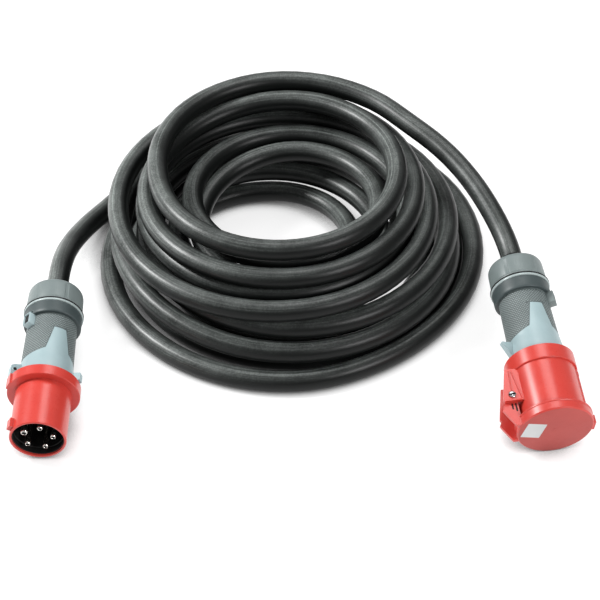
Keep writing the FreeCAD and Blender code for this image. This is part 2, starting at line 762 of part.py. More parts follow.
def build_plug(placement):
    """The plug: red sleeve with flange and key, black carrier, five pins, and its rear parts."""
    inner = size.sleeve_radius - size.sleeve_wall
    seat = size.sleeve_depth + size.flange_width
    shoulder = seat - size.shoulder_width
    spigot_inner = size.spigot_radius - size.spigot_wall
    chamfer = size.edge_chamfer
    carrier_end = shoulder + size.spigot_length + size.shoulder_width
    terminal_front = carrier_end + size.terminal_overhang - size.terminal_length
    angles = [contact_angle(KEY_ANGLE, index, 1) for index in range(5)]

    sleeve = turned(
        "plug_sleeve_blank",
        [
            (inner + chamfer, 0.0),
            (size.sleeve_radius - chamfer, 0.0),
            (size.sleeve_radius, chamfer),
            (size.sleeve_radius, size.sleeve_depth),
            (size.flange_radius - chamfer, size.sleeve_depth),
            (size.flange_radius, size.sleeve_depth + chamfer),
            (size.flange_radius, seat - chamfer),
            (size.flange_radius - chamfer, seat),
            (size.spigot_radius, seat),
            (size.spigot_radius, seat + size.spigot_length),
            (spigot_inner, seat + size.spigot_length),
            (spigot_inner, shoulder),
            (inner, shoulder),
            (inner, chamfer),
        ],
    )
    key = block(
        "plug_key",
        (size.sleeve_radius - 1.0, size.sleeve_radius + size.key_height),
        size.key_width,
        (size.key_setback, size.key_setback + size.key_length),
        KEY_ANGLE,
    )
    rim_lug = block(
        "plug_rim_lug",
        (size.flange_radius - 2.0, size.flange_radius + 1.6),
        14.0,
        (size.sleeve_depth, seat),
        25.0,
    )
    node("plug_shroud", fused("plug_shroud_fused", sleeve, key, rim_lug), placement)

    lining_outer = inner - size.carrier_gap
    lining_inner = lining_outer - size.lining_wall
    lining = turned(
        "plug_lining_blank",
        [
            (lining_inner + chamfer, size.lining_front),
            (lining_outer, size.lining_front),
            (lining_outer, size.carrier_setback),
            (lining_inner, size.carrier_setback),
            (lining_inner, size.lining_front + chamfer),
        ],
    )
    node("plug_lining", lining, placement)

    carrier_blank = turned(
        "plug_carrier_blank",
        [
            (0.0, size.carrier_setback),
            (inner - size.carrier_gap, size.carrier_setback),
            (inner - size.carrier_gap, shoulder),
            (spigot_inner - size.carrier_gap, shoulder),
            (spigot_inner - size.carrier_gap, carrier_end),
            (0.0, carrier_end),
        ],
    )
    holes = []
    screw_depth = terminal_front + size.terminal_length - size.screw_setback
    for index, (name, degrees) in enumerate(zip(EARTH_FIRST, angles)):
        pin_radius = size.earth_radius if index == 0 else size.phase_radius
        x, y = polar(size.contact_circle, degrees)
        axis = Vector(math.cos(math.radians(degrees)), math.sin(math.radians(degrees)), 0)
        turn = Rotation(Vector(0, 0, 1), axis)
        holes.append(
            rod(f"plug_bore_{name}", pin_radius - size.shank_step + size.pin_gap,
                terminal_front - size.carrier_setback + 2.0, x, y, size.carrier_setback - 1.0)
        )
        holes.append(
            rod(f"plug_pocket_{name}", size.terminal_radius + size.carrier_gap,
                size.terminal_length, x, y, terminal_front)
        )
        holes.append(
            rod(f"plug_screw_way_{name}", size.screw_radius + size.pin_gap,
                size.contact_circle, x, y, screw_depth, turn)
        )
        pin_blank = turned(
            f"plug_pin_blank_{name}",
            [
                (0.0, size.pin_setback),
                (pin_radius - 1.6, size.pin_setback),
                (pin_radius - 0.5, size.pin_setback + 0.6),
                (pin_radius, size.pin_setback + 2.0),
                (pin_radius, size.carrier_setback - 1.0),
                (pin_radius - size.shank_step, size.carrier_setback - 0.6),
                (pin_radius - size.shank_step, terminal_front),
                (size.terminal_radius, terminal_front),
                (size.terminal_radius, terminal_front + size.terminal_length),
                (size.core_radius + 0.1, terminal_front + size.terminal_length),
                (size.core_radius + 0.1,
                 terminal_front + size.terminal_length - size.terminal_bore_depth),
                (0.0, terminal_front + size.terminal_length - size.terminal_bore_depth),
            ],
        )
        place(pin_blank, x, y)
        tapped = rod(f"plug_tapping_{name}", size.screw_radius, size.contact_circle, x, y,
                     screw_depth, turn)
        title = "plug_earth_pin" if index == 0 else f"plug_pin_{name}"
        node(title, cut(f"{title}_cut", pin_blank, tapped), placement)
    node("plug_contact_carrier", cut("plug_carrier_cut", carrier_blank, *holes), placement)

    terminal_screws("plug_terminal_screws", angles, screw_depth, placement)
    rear = rear_parts("plug", seat, placement, PLUG_TONGUE_ANGLE, PLUG_SLIDE_ANGLE)
    core_start = float(terminal_front + size.terminal_length - size.terminal_bore_depth)
    cores("plug", angles, core_start, rear["jacket_start"], placement)
    return rear


def hinge_spring(placement):
    """The lid's torsion spring round the hinge pin: one leg lies on the body, one on the lid."""
    turns = 4
    steps = turns * 4
    radius = float(size.spring_radius)
    pitch = float(size.spring_pitch)
    centre = Vector(float(hinge_offset), 0, float(size.hinge_setback))
    first = math.radians(189.3)
    last = math.radians(180.0 + 360.0 * turns)
    points = []
    tangents = []
    for step in range(steps + 1):
        angle = first + (last - first) * step / steps
        climb = pitch * (angle - (first + last) / 2) / (2 * math.pi)
        points.append(centre + Vector(radius * math.cos(angle), climb, radius * math.sin(angle)))
        tangent = Vector(-radius * math.sin(angle), pitch / (2 * math.pi), radius * math.cos(angle))
        tangents.append(tangent.normalize())
    body_leg = tangents[0] * float(size.spring_body_leg)
    lid_leg = tangents[-1] * float(size.spring_lid_leg)
    edges = [Part.LineSegment(points[0] - body_leg, points[0]).toShape()]
    for index in range(steps):
        edges += biarc(points[index], tangents[index], points[index + 1], tangents[index + 1])
    edges.append(Part.LineSegment(points[-1], points[-1] + lid_leg).toShape())
    solid, length = tube_along(edges, float(size.spring_wire))
    print(f"lid_spring: {turns} turns, length {length:.1f}, gap between turns "
          f"{pitch - 2 * float(size.spring_wire):.2f}")
    shaped("lid_spring", solid, placement)


def build_connector(placement):
    """The connector: red body with keyway and hinge, contacts, spring lid, and its rear parts."""
    seat = size.body_depth
    socket_radius = size.body_radius - size.socket_wall
    mating_radius = socket_radius - size.socket_gap
    sleeve_inside = mating_radius - size.sleeve_wall - size.carrier_gap - size.lining_wall
    insert_radius = sleeve_inside - size.insert_gap
    socket_floor = size.sleeve_depth + size.socket_extra
    shoulder = seat - size.shoulder_width
    spigot_inner = size.spigot_radius - size.spigot_wall
    chamfer = size.edge_chamfer
    carrier_end = shoulder + size.spigot_length + size.shoulder_width
    terminal_front = carrier_end + size.terminal_overhang - size.terminal_length
    contact_front = size.insert_setback + size.contact_setback
    angles = [contact_angle(180.0 - KEY_ANGLE, index, -1) for index in range(5)]
    lug_middle = size.hinge_space / 2 + size.lug_thickness / 2
    hole_radius = size.hinge_pin_radius + size.hinge_gap
    mouth_face = -(size.gasket_thickness + size.lid_thickness)
    skirt_inner = lid_radius - size.lid_skirt_wall
    sideways = Rotation(Vector(0, 0, 1), Vector(0, 1, 0))
    below = -(size.hinge_space / 2 + size.lug_thickness)

    barrel = turned(
        "connector_body_blank",
        [
            (socket_radius, 0.0),
            (size.body_radius - chamfer, 0.0),
            (size.body_radius, chamfer),
            (size.body_radius, seat - size.body_collar_width),
            (body_collar_radius - chamfer, seat - size.body_collar_width),
            (body_collar_radius, seat - size.body_collar_width + chamfer),
            (body_collar_radius, seat - chamfer),
            (body_collar_radius - chamfer, seat),
            (size.spigot_radius, seat),
            (size.spigot_radius, seat + size.spigot_length),
            (spigot_inner, seat + size.spigot_length),
            (spigot_inner, shoulder),
            (socket_radius, shoulder),
        ],
    )
    collar_front = seat - size.body_collar_width
    lug_outline = [
        (size.body_radius - 9.0, size.hinge_setback - 9.0),
        (hinge_offset + 11.0, size.hinge_setback - 9.0),
        (hinge_offset + 12.5, size.hinge_setback - 6.0),
        (hinge_offset + 8.0, size.hinge_setback + 14.0),
        (hinge_offset + 2.5, collar_front + 1.0),
        (size.body_radius - 9.0, collar_front + 1.0),
    ]
    lugs = [
        plate("hinge_lug_upper", lug_outline, size.lug_thickness, lug_middle),
        plate("hinge_lug_lower", lug_outline, size.lug_thickness, -lug_middle),
    ]
    side_lug = block(
        "body_side_lug",
        (size.body_radius - 1.0, size.body_radius + 3.0),
        5.0,
        (collar_front - 6.0, collar_front),
        178.0,
    )
    side_rib = block(
        "body_side_rib",
        (size.body_radius - 1.0, size.body_radius + 1.6),
        9.0,
        (size.lid_skirt_depth + 3.0, collar_front + 1.0),
        166.0,
    )
    keyway = block(
        "connector_keyway",
        (mating_radius - 1.0, mating_radius + size.key_height + size.key_gap),
        size.key_width + size.key_gap * 2,
        (-1.0, socket_floor),
        180.0 - KEY_ANGLE,
    )
    pin_way = rod(
        "hinge_pin_way", size.hinge_pin_radius, size.hinge_space + size.lug_thickness * 2 + 2.0,
        hinge_offset, below - 1.0, size.hinge_setback, sideways,
    )
    body = fused("connector_body_fused", barrel, *lugs, side_lug, side_rib)
    node("connector_body", cut("connector_body_cut", body, keyway, pin_way), placement)

    carrier_blank = turned(
        "connector_carrier_blank",
        [
            (0.0, size.insert_setback),
            (insert_radius - chamfer, size.insert_setback),
            (insert_radius, size.insert_setback + chamfer),
            (insert_radius, socket_floor),
            (socket_radius - size.carrier_gap, socket_floor),
            (socket_radius - size.carrier_gap, shoulder),
            (spigot_inner - size.carrier_gap, shoulder),
            (spigot_inner - size.carrier_gap, carrier_end),
            (0.0, carrier_end),
        ],
    )
    holes = []
    screw_depth = terminal_front + size.terminal_length - size.screw_setback
    for index, (name, degrees) in enumerate(zip(EARTH_FIRST, angles)):
        pin_radius = size.earth_radius if index == 0 else size.phase_radius
        sleeve_bore = pin_radius + size.pin_gap
        sleeve_outer = sleeve_bore + size.contact_wall
        x, y = polar(size.contact_circle, degrees)
        axis = Vector(math.cos(math.radians(degrees)), math.sin(math.radians(degrees)), 0)
        turn = Rotation(Vector(0, 0, 1), axis)
        holes.append(
            rod(f"connector_entry_{name}", sleeve_bore + 0.4, size.contact_setback + 2.0,
                x, y, size.insert_setback - 1.0)
        )
        holes.append(
            rod(f"connector_way_{name}", sleeve_outer + size.carrier_gap,
                terminal_front - contact_front + 1.0, x, y, contact_front)
        )
        holes.append(
            rod(f"connector_pocket_{name}", size.terminal_radius + size.contact_wall / 2,
                size.terminal_length, x, y, terminal_front)
        )
        holes.append(
            rod(f"connector_screw_way_{name}", size.screw_radius + size.pin_gap,
                size.contact_circle, x, y, screw_depth, turn)
        )
        contact_blank = turned(
            f"contact_blank_{name}",
            [
                (sleeve_bore, contact_front),
                (sleeve_outer, contact_front),
                (sleeve_outer, terminal_front),
                (size.terminal_radius, terminal_front),
                (size.terminal_radius, terminal_front + size.terminal_length),
                (size.core_radius + 0.1, terminal_front + size.terminal_length),
                (size.core_radius + 0.1,
                 terminal_front + size.terminal_length - size.terminal_bore_depth),
                (0.0, terminal_front + size.terminal_length - size.terminal_bore_depth),
                (0.0, contact_front + size.contact_depth),
                (sleeve_bore, contact_front + size.contact_depth),
            ],
        )
        place(contact_blank, x, y)
        tapped = rod(f"contact_tapping_{name}", size.screw_radius, size.contact_circle, x, y,
                     screw_depth, turn)
        title = f"connector_contact_{name}"
        node(title, cut(f"{title}_cut", contact_blank, tapped), placement)
    node("connector_carrier", cut("connector_carrier_cut", carrier_blank, *holes), placement)
    terminal_screws("connector_terminal_screws", angles, screw_depth, placement)

    lid_plate = turned(
        "lid_blank",
        [
            (0.0, mouth_face),
            (lid_radius - chamfer * 2, mouth_face),
            (lid_radius, mouth_face + chamfer * 2),
            (lid_radius, size.lid_skirt_depth),
            (skirt_inner, size.lid_skirt_depth),
            (skirt_inner, -size.gasket_thickness),
            (0.0, -size.gasket_thickness),
        ],
    )
    arm_outline = [
        (lid_radius - 5.5, mouth_face + 1.0),
        (lid_radius + 2.5, mouth_face + 1.0),
        (hinge_offset + 12.0, size.hinge_setback - 24.0),
        (hinge_offset + 15.0, size.hinge_setback - 18.0),
        (hinge_offset + 8.5, size.hinge_setback - 6.0),
        (hinge_offset + 5.5, size.hinge_setback + 2.5),
        (hinge_offset + 1.0, size.hinge_setback + 6.0),
        (hinge_offset - 4.0, size.hinge_setback + 4.5),
        (hinge_offset - 5.5, size.hinge_setback - 1.0),
        (lid_radius - 5.5, size.lid_skirt_depth - 0.5),
    ]
    arm_middle = size.hinge_space / 2 - size.arm_thickness / 2 - 0.4
    arms = [
        plate("lid_arm_upper", arm_outline, size.arm_thickness, arm_middle),
        plate("lid_arm_lower", arm_outline, size.arm_thickness, -arm_middle),
    ]
    web = block(
        "lid_arm_web",
        (size.body_radius + 0.6, size.body_radius + 2.1),
        size.hinge_space - 2.0,
        (size.lid_skirt_depth - 2.0, size.hinge_setback - 6.0),
        0.0,
    )
    nose = block(
        "lid_nose",
        (lid_radius - 1.5, lid_radius + 2.4),
        15.0,
        (mouth_face + 1.5, size.lid_skirt_depth - 1.0),
        184.0,
    )
    lid_way = rod("lid_pin_way", hole_radius, size.hinge_space, hinge_offset,
                  -size.hinge_space / 2, size.hinge_setback, sideways)
    lid = fused("lid_fused", lid_plate, *arms, web, nose)
    node("connector_lid", cut("lid_cut", lid, lid_way), placement)

    gasket_outer = size.body_radius - 0.5
    node(
        "lid_gasket",
        turned(
            "lid_gasket_ring",
            [
                (gasket_outer - size.gasket_width, -size.gasket_thickness),
                (gasket_outer, -size.gasket_thickness),
                (gasket_outer, 0.0),
                (gasket_outer - size.gasket_width, 0.0),
            ],
        ),
        placement,
    )
    half_width = size.label_width / 2
    half_height = size.label_height / 2
    label = plate(
        "label_plate",
        [
            (-half_width, -half_height),
            (half_width, -half_height),
            (half_width, half_height),
            (-half_width, half_height),
        ],
        size.label_thickness,
        plane_role="XY_Plane",
    )
    label_height = float(mouth_face - size.label_thickness / 2)
    label_reach = float(lid_radius - size.label_width * 0.82)
    on_lid = Placement(Vector(label_reach, 3.0, label_height), Rotation(Vector(0, 0, 1), 15.0))
    node("blank_label", label, placement.multiply(on_lid))

    pin_shaft = rod(
        "hinge_pin_shaft", size.hinge_pin_radius, size.hinge_space + size.lug_thickness * 2,
        hinge_offset, below, size.hinge_setback, sideways,
    )
    pin_head = rod("hinge_pin_head", size.hinge_pin_radius + 2.2, 2.6, hinge_offset, -below,
                   size.hinge_setback, sideways)
    slot = doc.addObject("Part::Box", "hinge_pin_slot")
    bind(slot, "Length", size.hinge_pin_radius * 5)
    bind(slot, "Width", 2.0)
    bind(slot, "Height", 1.0)
    place(slot, hinge_offset - size.hinge_pin_radius * 2.5, -below + 1.4,
          size.hinge_setback - 0.5)
    node("hinge_pin", cut("hinge_pin_cut", fused("hinge_pin_fused", pin_shaft, pin_head), slot),
         placement)
    hinge_spring(placement)

    rear = rear_parts("connector", seat, placement, CONNECTOR_TONGUE_ANGLE, CONNECTOR_SLIDE_ANGLE)
    core_start = float(terminal_front + size.terminal_length - size.terminal_bore_depth)
    cores("connector", angles, core_start, rear["jacket_start"], placement)
    return rear


# Layers of the coil from the floor up: quarter turns, radius at the start, radius at the end
COIL_LAYERS = [
    (13, float(size.coil_floor_radius), float(size.coil_inner_radius)),
    (10, float(size.coil_inner_radius), float(size.coil_second_radius)),
    (9, float(size.coil_second_radius), float(size.coil_third_radius)),
    (8, float(size.coil_third_radius), float(size.coil_fourth_radius)),
    (7, float(size.coil_fourth_radius), float(size.coil_fifth_radius)),
    (6, float(size.coil_fifth_radius), float(size.coil_leave_radius)),
]
LOWER_LAYERS = 4


def coil_stations():
    """Points and tangents of the coil at every quarter turn, clockwise and upwards.

    Each layer spirals at a steady rate. Where one layer ends and the next begins the spiral
    reverses, and the cable climbs in the quarter turn before and the one after.
    """
    quarters = sum(layer[0] for layer in COIL_LAYERS)
    pitch = float(size.cable_diameter + size.layer_clearance)
    floor = float(size.cable_diameter) / 2
    radius = []
    slope = []
    height = []
    climb = []
    for level, (count, start, end) in enumerate(COIL_LAYERS):
        rate = (end - start) / count
        for step in range(count):
            opening = step == 0 and level > 0
            radius.append(start + rate * step)
            slope.append(0.0 if opening else rate)
            height.append(floor + pitch * level - (pitch / 2 if opening else 0.0))
            climb.append(pitch * 0.75 if opening else 0.0)
    radius.append(COIL_LAYERS[-1][2])
    slope.append(rate)
    height.append(floor + pitch * (len(COIL_LAYERS) - 1))
    climb.append(0.0)

    start_angle = math.radians(float(size.coil_start_angle))
    wander = float(size.coil_wander)
    points = []
    tangents = []
    for index in range(quarters + 1):
        angle = start_angle - index * math.pi / 2
        share = index / quarters
        drift = 0.314 * index
        centre = Vector(
            float(size.coil_centre_left) + float(size.coil_lean) * share + wander * math.cos(drift),
            float(size.coil_centre_back) + wander * math.sin(drift),
            0,
        )
        out = Vector(math.cos(angle), math.sin(angle), 0)
        ahead = Vector(math.sin(angle), -math.cos(angle), 0)
        points.append(centre + out * radius[index] + Vector(0, 0, height[index]))
        forward = ahead * (radius[index] * math.pi / 2) + out * slope[index]
        forward += Vector(-math.sin(drift), math.cos(drift), 0) * (wander * 0.314)
        forward += Vector(float(size.coil_lean) / quarters, 0, climb[index])
        tangents.append(forward.normalize())
    return points, tangents


def sampled(edges, step):
    """Points along edges, about `step` apart, with the distance travelled to each."""
    found = []
    travelled = 0.0
    for edge in edges:
        count = max(1, int(edge.Length / step))
        for number in range(count):
            share = (number + 0.5) / count
            value = edge.FirstParameter + (edge.LastParameter - edge.FirstParameter) * share
            found.append((edge.valueAt(value), travelled + edge.Length * share))
        travelled += edge.Length
    return found


def least_self_gap(edges, diameter, step=2.5):
    """Least distance between a tube's surface and itself, away from where it follows itself."""
    cell = diameter * 1.5
    grid = {}
    least = 1e9
    for point, travelled in sampled(edges, step):
        key = (int(point.x // cell), int(point.y // cell), int(point.z // cell))
        for dx in (-1, 0, 1):
            for dy in (-1, 0, 1):
                for dz in (-1, 0, 1):
                    for other, passed in grid.get((key[0] + dx, key[1] + dy, key[2] + dz), ()):
                        if travelled - passed > diameter * 6:
                            least = min(least, point.distanceToPoint(other))
        grid.setdefault(key, []).append((point, travelled))
    return least - diameter


def build_cable(plug_place, plug_rear, connector_place, connector_rear):
    """The cable: a tail at each end and the loose pile of turns between them, in two coils."""
    diameter = float(size.cable_diameter)
    radius = diameter / 2
    points, tangents = coil_stations()
    split = sum(layer[0] for layer in COIL_LAYERS[:LOWER_LAYERS]) - 1
    edges = []
    for index in range(len(points) - 1):
        edges.append(biarc(points[index], tangents[index], points[index + 1], tangents[index + 1]))
    lead_in = points[0] - tangents[0] * diameter
    lead_out = points[-1] + tangents[-1] * diameter
    lower = [Part.LineSegment(lead_in, points[0]).toShape()]
    for pair in edges[:split]:
        lower += pair
    upper = []
    for pair in edges[split:]:
        upper += pair
    upper.append(Part.LineSegment(points[-1], lead_out).toShape())
    total = 0.0
    for name, path in (("cable_coil_lower", lower), ("cable_coil_upper", upper)):
        solid, length = tube_along(path, radius)
        expected = math.pi * radius * radius * length
        print(f"{name}: length {length:.1f}, volume ratio {solid.Volume / expected:.4f}")
        shaped(name, solid)
        total += length
    print(f"coil: {(len(points) - 1) / 4:.2f} turns, least gap {least_self_gap(lower + upper, diameter):.2f}")

    plug_start = plug_place.multVec(Vector(0, 0, plug_rear["jacket_start"]))
    plug_exit = plug_place.multVec(Vector(0, 0, plug_rear["cable_exit"]))
    plug_back = (plug_exit - plug_start).normalize()
    plug_route = [
        plug_start,
        plug_exit + plug_back * float(size.plug_tail_straight),
        Vector(float(size.plug_rise_left), float(size.plug_rise_back), float(size.plug_rise_height)),
        Vector(float(size.plug_land_left), float(size.plug_land_back), float(size.plug_land_height)),
        lead_in - tangents[0] * float(size.plug_tail_lead),
        lead_in,
    ]
    total += route_tube("cable_plug_tail", plug_route, radius)

    connector_start = connector_place.multVec(Vector(0, 0, connector_rear["jacket_start"]))
    connector_exit = connector_place.multVec(Vector(0, 0, connector_rear["cable_exit"]))
    connector_back = (connector_exit - connector_start).normalize()
    connector_route = [
        connector_start,
        connector_exit + connector_back * float(size.connector_tail_straight),
        Vector(float(size.connector_fall_right), float(size.connector_fall_back),
               float(size.connector_fall_height)),
        Vector(float(size.connector_leave_right), float(size.connector_leave_back),
               float(size.connector_leave_height)),
        lead_out + tangents[-1] * float(size.connector_tail_lead),
        lead_out,
    ]
    total += route_tube("cable_connector_tail", connector_route, radius)
    print(f"cable length {total / 1000:.2f} m")


# The plug lies on the front edge of its flange, the connector on the edge of its lid
plug_tilt = math.radians(float(size.plug_tilt))
plug_height = (
    float(size.flange_radius) * math.cos(plug_tilt)
    - float(size.sleeve_depth + size.edge_chamfer) * math.sin(plug_tilt)
)
connector_tilt = math.radians(float(size.connector_tilt))
lid_edge = float(size.gasket_thickness + size.lid_thickness - size.edge_chamfer * 2)
connector_height = (
    float(lid_radius) * math.cos(connector_tilt) + lid_edge * math.sin(connector_tilt)
)
plug_placement = end_placement(
    float(size.plug_left), float(size.plug_front), plug_height,
    float(size.plug_yaw), float(size.plug_tilt),
)
connector_placement = end_placement(
    float(size.connector_right), float(size.connector_front), connector_height,
    float(size.connector_yaw), float(size.connector_tilt),
)
plug_back_end = build_plug(plug_placement)
connector_back_end = build_connector(connector_placement)
build_cable(plug_placement, plug_back_end, connector_placement, connector_back_end)

doc.recompute()
for item in doc.Objects:
    if "Invalid" in item.State or "Error" in item.State:
        raise RuntimeError(f"{item.Label} failed: {item.State}")
os.makedirs("parts", exist_ok=True)
for name, feature in nodes.items():
    shape = feature.Shape
    if shape.isNull() or not shape.isValid():
        raise RuntimeError(f"{name} has no valid shape")
    shape.exportStep(f"parts/{name}.step")
print(f"{len(nodes)} nodes written")
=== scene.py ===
"""Studio scene of a coiled shore power lead: five-pin plug, rubber cable and lidded connector."""
from __future__ import annotations

import functools
import json
import logging
import math
from dataclasses import dataclass
from enum import Enum
from typing import Any, Callable, Iterable, Sequence

import bmesh
import bpy
from mathutils import Matrix, Vector


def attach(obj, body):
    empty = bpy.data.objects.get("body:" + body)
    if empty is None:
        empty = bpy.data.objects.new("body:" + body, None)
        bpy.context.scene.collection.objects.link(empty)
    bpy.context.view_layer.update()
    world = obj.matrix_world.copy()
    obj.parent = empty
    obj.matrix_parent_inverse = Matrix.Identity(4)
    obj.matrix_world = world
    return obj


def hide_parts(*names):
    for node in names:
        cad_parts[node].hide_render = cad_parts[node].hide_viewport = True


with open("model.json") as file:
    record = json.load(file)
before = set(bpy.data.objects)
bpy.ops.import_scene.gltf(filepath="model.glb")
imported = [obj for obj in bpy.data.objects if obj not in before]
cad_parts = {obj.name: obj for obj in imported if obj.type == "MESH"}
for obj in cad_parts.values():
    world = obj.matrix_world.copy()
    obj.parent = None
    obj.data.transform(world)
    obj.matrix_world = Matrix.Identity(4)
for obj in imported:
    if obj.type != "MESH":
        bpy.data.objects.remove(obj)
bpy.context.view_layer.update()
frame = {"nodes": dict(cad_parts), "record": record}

logging.basicConfig(level=logging.INFO, format="%(message)s")
log = logging.getLogger("shore_lead")

MM = 0.001
FULL_TURN = 2.0 * math.pi
RING_SIDES = 96
FINE_RING_SIDES = 128
SMOOTH_DEGREES = 35.0
# The cosine above which a face counts as looking along a direction
SQUARE_ON = 0.9

Colour = tuple[float, float, float]
Place = tuple[float, float, float]


class LeadEnd(Enum):
    """The two ends of the lead, by the prefix of their node names."""

    PLUG = "plug"
    CONNECTOR = "connector"


@dataclass(frozen=True)
class EndFrame:
    """Where one end of the lead lies: its mouth, and its own axes on the floor."""

    mouth: Place
    yaw: float
    tilt: float

    def matrix(self) -> Matrix:
        """Matrix from the end's own millimetres to the scene's metres.

        Returns:
            The end's +Z runs back to the cable, +Y is its upper side and +X is to the left.
        """
        yaw = math.radians(self.yaw)
        tilt = math.radians(self.tilt)
        back = Vector((-math.cos(tilt) * math.sin(yaw), math.cos(tilt) * math.cos(yaw), math.sin(tilt)))
        up = Vector((math.sin(tilt) * math.sin(yaw), -math.sin(tilt) * math.cos(yaw), math.cos(tilt)))
        side = up.cross(back)
        turn = Matrix((side, up, back)).transposed().to_4x4()
        return Matrix.Translation(Vector(self.mouth) * MM) @ turn @ Matrix.Scale(MM, 4)

    def point(self, x: float, y: float, z: float) -> Vector:
        """A point of the end, given in its own millimetres, in metres on the floor."""
        return self.matrix() @ Vector((x, y, z))


PLUG_FRAME = EndFrame((-321.0, -130.2, 38.452), -1.5, 6.0)
CONNECTOR_FRAME = EndFrame((316.4, -116.1, 48.307), 8.5, 10.5)
END_FRAMES = {LeadEnd.PLUG: PLUG_FRAME, LeadEnd.CONNECTOR: CONNECTOR_FRAME}


class Wire:
    """A shader socket that can be used in arithmetic."""

    def __init__(self, sheet: "NodeSheet", socket: bpy.types.NodeSocket) -> None:
        """Wrap a socket of a node sheet."""
        self.sheet = sheet
        self.socket = socket

    def _math(self, operation: str, first: Any, second: Any) -> "Wire":
        """Add a Math node.

        Args:
            operation: the Math node's operation.
            first: the first value or wire.
            second: the second value or wire.

        Returns:
            The node's result.
        """
        return self.sheet.add("ShaderNodeMath", {"operation": operation}, {0: first, 1: second})

    def __add__(self, other: Any) -> "Wire":
        """Sum."""
        return self._math("ADD", self, other)

    __radd__ = __add__

    def __sub__(self, other: Any) -> "Wire":
        """Difference."""
        return self._math("SUBTRACT", self, other)

    def __rsub__(self, other: Any) -> "Wire":
        """Difference, reflected."""
        return self._math("SUBTRACT", other, self)

    def __mul__(self, other: Any) -> "Wire":
        """Product."""
        return self._math("MULTIPLY", self, other)

    __rmul__ = __mul__


class NodeSheet:
    """The node tree of one material."""

    def __init__(self, name: str) -> None:
        """Make an empty material with its output."""
        self.material = bpy.data.materials.new(name)
        self.material.use_nodes = True
        self.tree = self.material.node_tree
        self.tree.nodes.clear()
        self.output = self.tree.nodes.new("ShaderNodeOutputMaterial")

    def feed(self, socket: bpy.types.NodeSocket, value: Any) -> None:
        """Link a wire to a socket, or set the socket to a value."""
        if isinstance(value, Wire):
            self.tree.links.new(value.socket, socket)
        else:
            socket.default_value = value

    def add(
        self,
        kind: str,
        settings: dict[str, Any] | None = None,
        values: dict[Any, Any] | None = None,
        out: int | str = 0,
    ) -> Wire:
        """Add any node.

        Args:
            kind: the node's type.
            settings: its properties, set first.
            values: what its sockets get, numbers, colours or wires, by name or number.
            out: the output that is wanted.

        Returns:
            That output.
        """
        node = self.tree.nodes.new(kind)
        for key, value in (settings or {}).items():
            setattr(node, key, value)
        for key, value in (values or {}).items():
            self.feed(node.inputs[key], value)
        return Wire(self, node.outputs[out])

    def mix(self, share: Any, first: Colour, second: Colour) -> Wire:
        """Mix two colours.

        Args:
            share: how much of the second there is.
            first: a colour.
            second: a colour.

        Returns:
            The mixed colour.
        """
        node = self.tree.nodes.new("ShaderNodeMix")
        node.data_type = "RGBA"
        self.feed(node.inputs[0], share)
        for socket, colour in zip((s for s in node.inputs if s.type == "RGBA"), (first, second)):
            socket.default_value = (*colour, 1.0)
        return Wire(self, next(s for s in node.outputs if s.type == "RGBA"))

    def noise(self, scale: float, detail: float, rough: float, where: Wire | None = None) -> Wire:
        """Noise in the object's own metres.

        Args:
            scale: waves per metre.
            detail: octaves.
            rough: strength of the finer octaves.
            where: coordinates, if not the object's.

        Returns:
            Values about 0.5.
        """
        spot = where or self.add("ShaderNodeTexCoord", out="Object")
        values = {"Vector": spot, "Scale": scale, "Detail": detail, "Roughness": rough}
        return self.add("ShaderNodeTexNoise", None, values)

    def ramp(self, value: Wire, low: float, high: float) -> Wire:
        """Stretch a value so that low becomes 0 and high becomes 1."""
        return self.add("ShaderNodeMapRange", {"clamp": True}, {0: value, 1: low, 2: high, 3: 0.0, 4: 1.0})

    def facing(self, direction: Place, low: float, high: float) -> Wire:
        """How far the surface faces a direction.

        Args:
            direction: the direction, of unit length.
            low: the cosine that becomes 0.
            high: the cosine that becomes 1.

        Returns:
            Values from 0 to 1.
        """
        normal = self.add("ShaderNodeNewGeometry", out="Normal")
        cosine = self.add(
            "ShaderNodeVectorMath", {"operation": "DOT_PRODUCT"}, {0: normal, 1: direction}, out="Value"
        )
        return self.ramp(cosine, low, high)

    def bump(self, height: Wire, strength: float, distance: float) -> Wire:
        """Bumps from a height."""
        return self.add(
            "ShaderNodeBump", None, {"Height": height, "Strength": strength, "Distance": distance}
        )

    def surface(self, values: dict[str, Any]) -> bpy.types.Material:
        """Finish the material with one Principled shader.

        Args:
            values: what the shader's sockets get.

        Returns:
            The material.
        """
        shader = self.add("ShaderNodeBsdfPrincipled", None, values)
        self.tree.links.new(shader.socket, self.output.inputs["Surface"])
        return self.material


@dataclass(frozen=True)
class Moulding:
    """A moulded plastic or rubber: its colour, gloss and grain."""

    name: str
    colour: Colour
    shade: Colour
    roughness: float
    grain: float = 0.03
    grain_scale: float = 1500.0
    coat: float = 0.0
    blotch: float = 30.0
    gloss: float = 0.5

    def material(self) -> bpy.types.Material:
        """Build the finish.

        Returns:
            A material with soft colour drift, a fine grain and uneven gloss.
        """
        sheet = NodeSheet(self.name)
        drift = sheet.ramp(sheet.noise(self.blotch, 4.0, 0.6), 0.3, 0.7)
        fine = sheet.noise(self.grain_scale, 2.0, 0.6)
        scuff = sheet.ramp(sheet.noise(self.blotch * 6.0, 6.0, 0.7), 0.45, 0.75)
        return sheet.surface(
            {
                "Base Color": sheet.mix(drift, self.colour, self.shade),
                "Roughness": self.roughness + scuff * 0.08 + (fine - 0.5) * 0.06,
                "Specular IOR Level": self.gloss,
                "Coat Weight": self.coat,
                "Coat Roughness": 0.25,
                "Normal": sheet.bump(fine, self.grain, 0.0002),
            }
        )


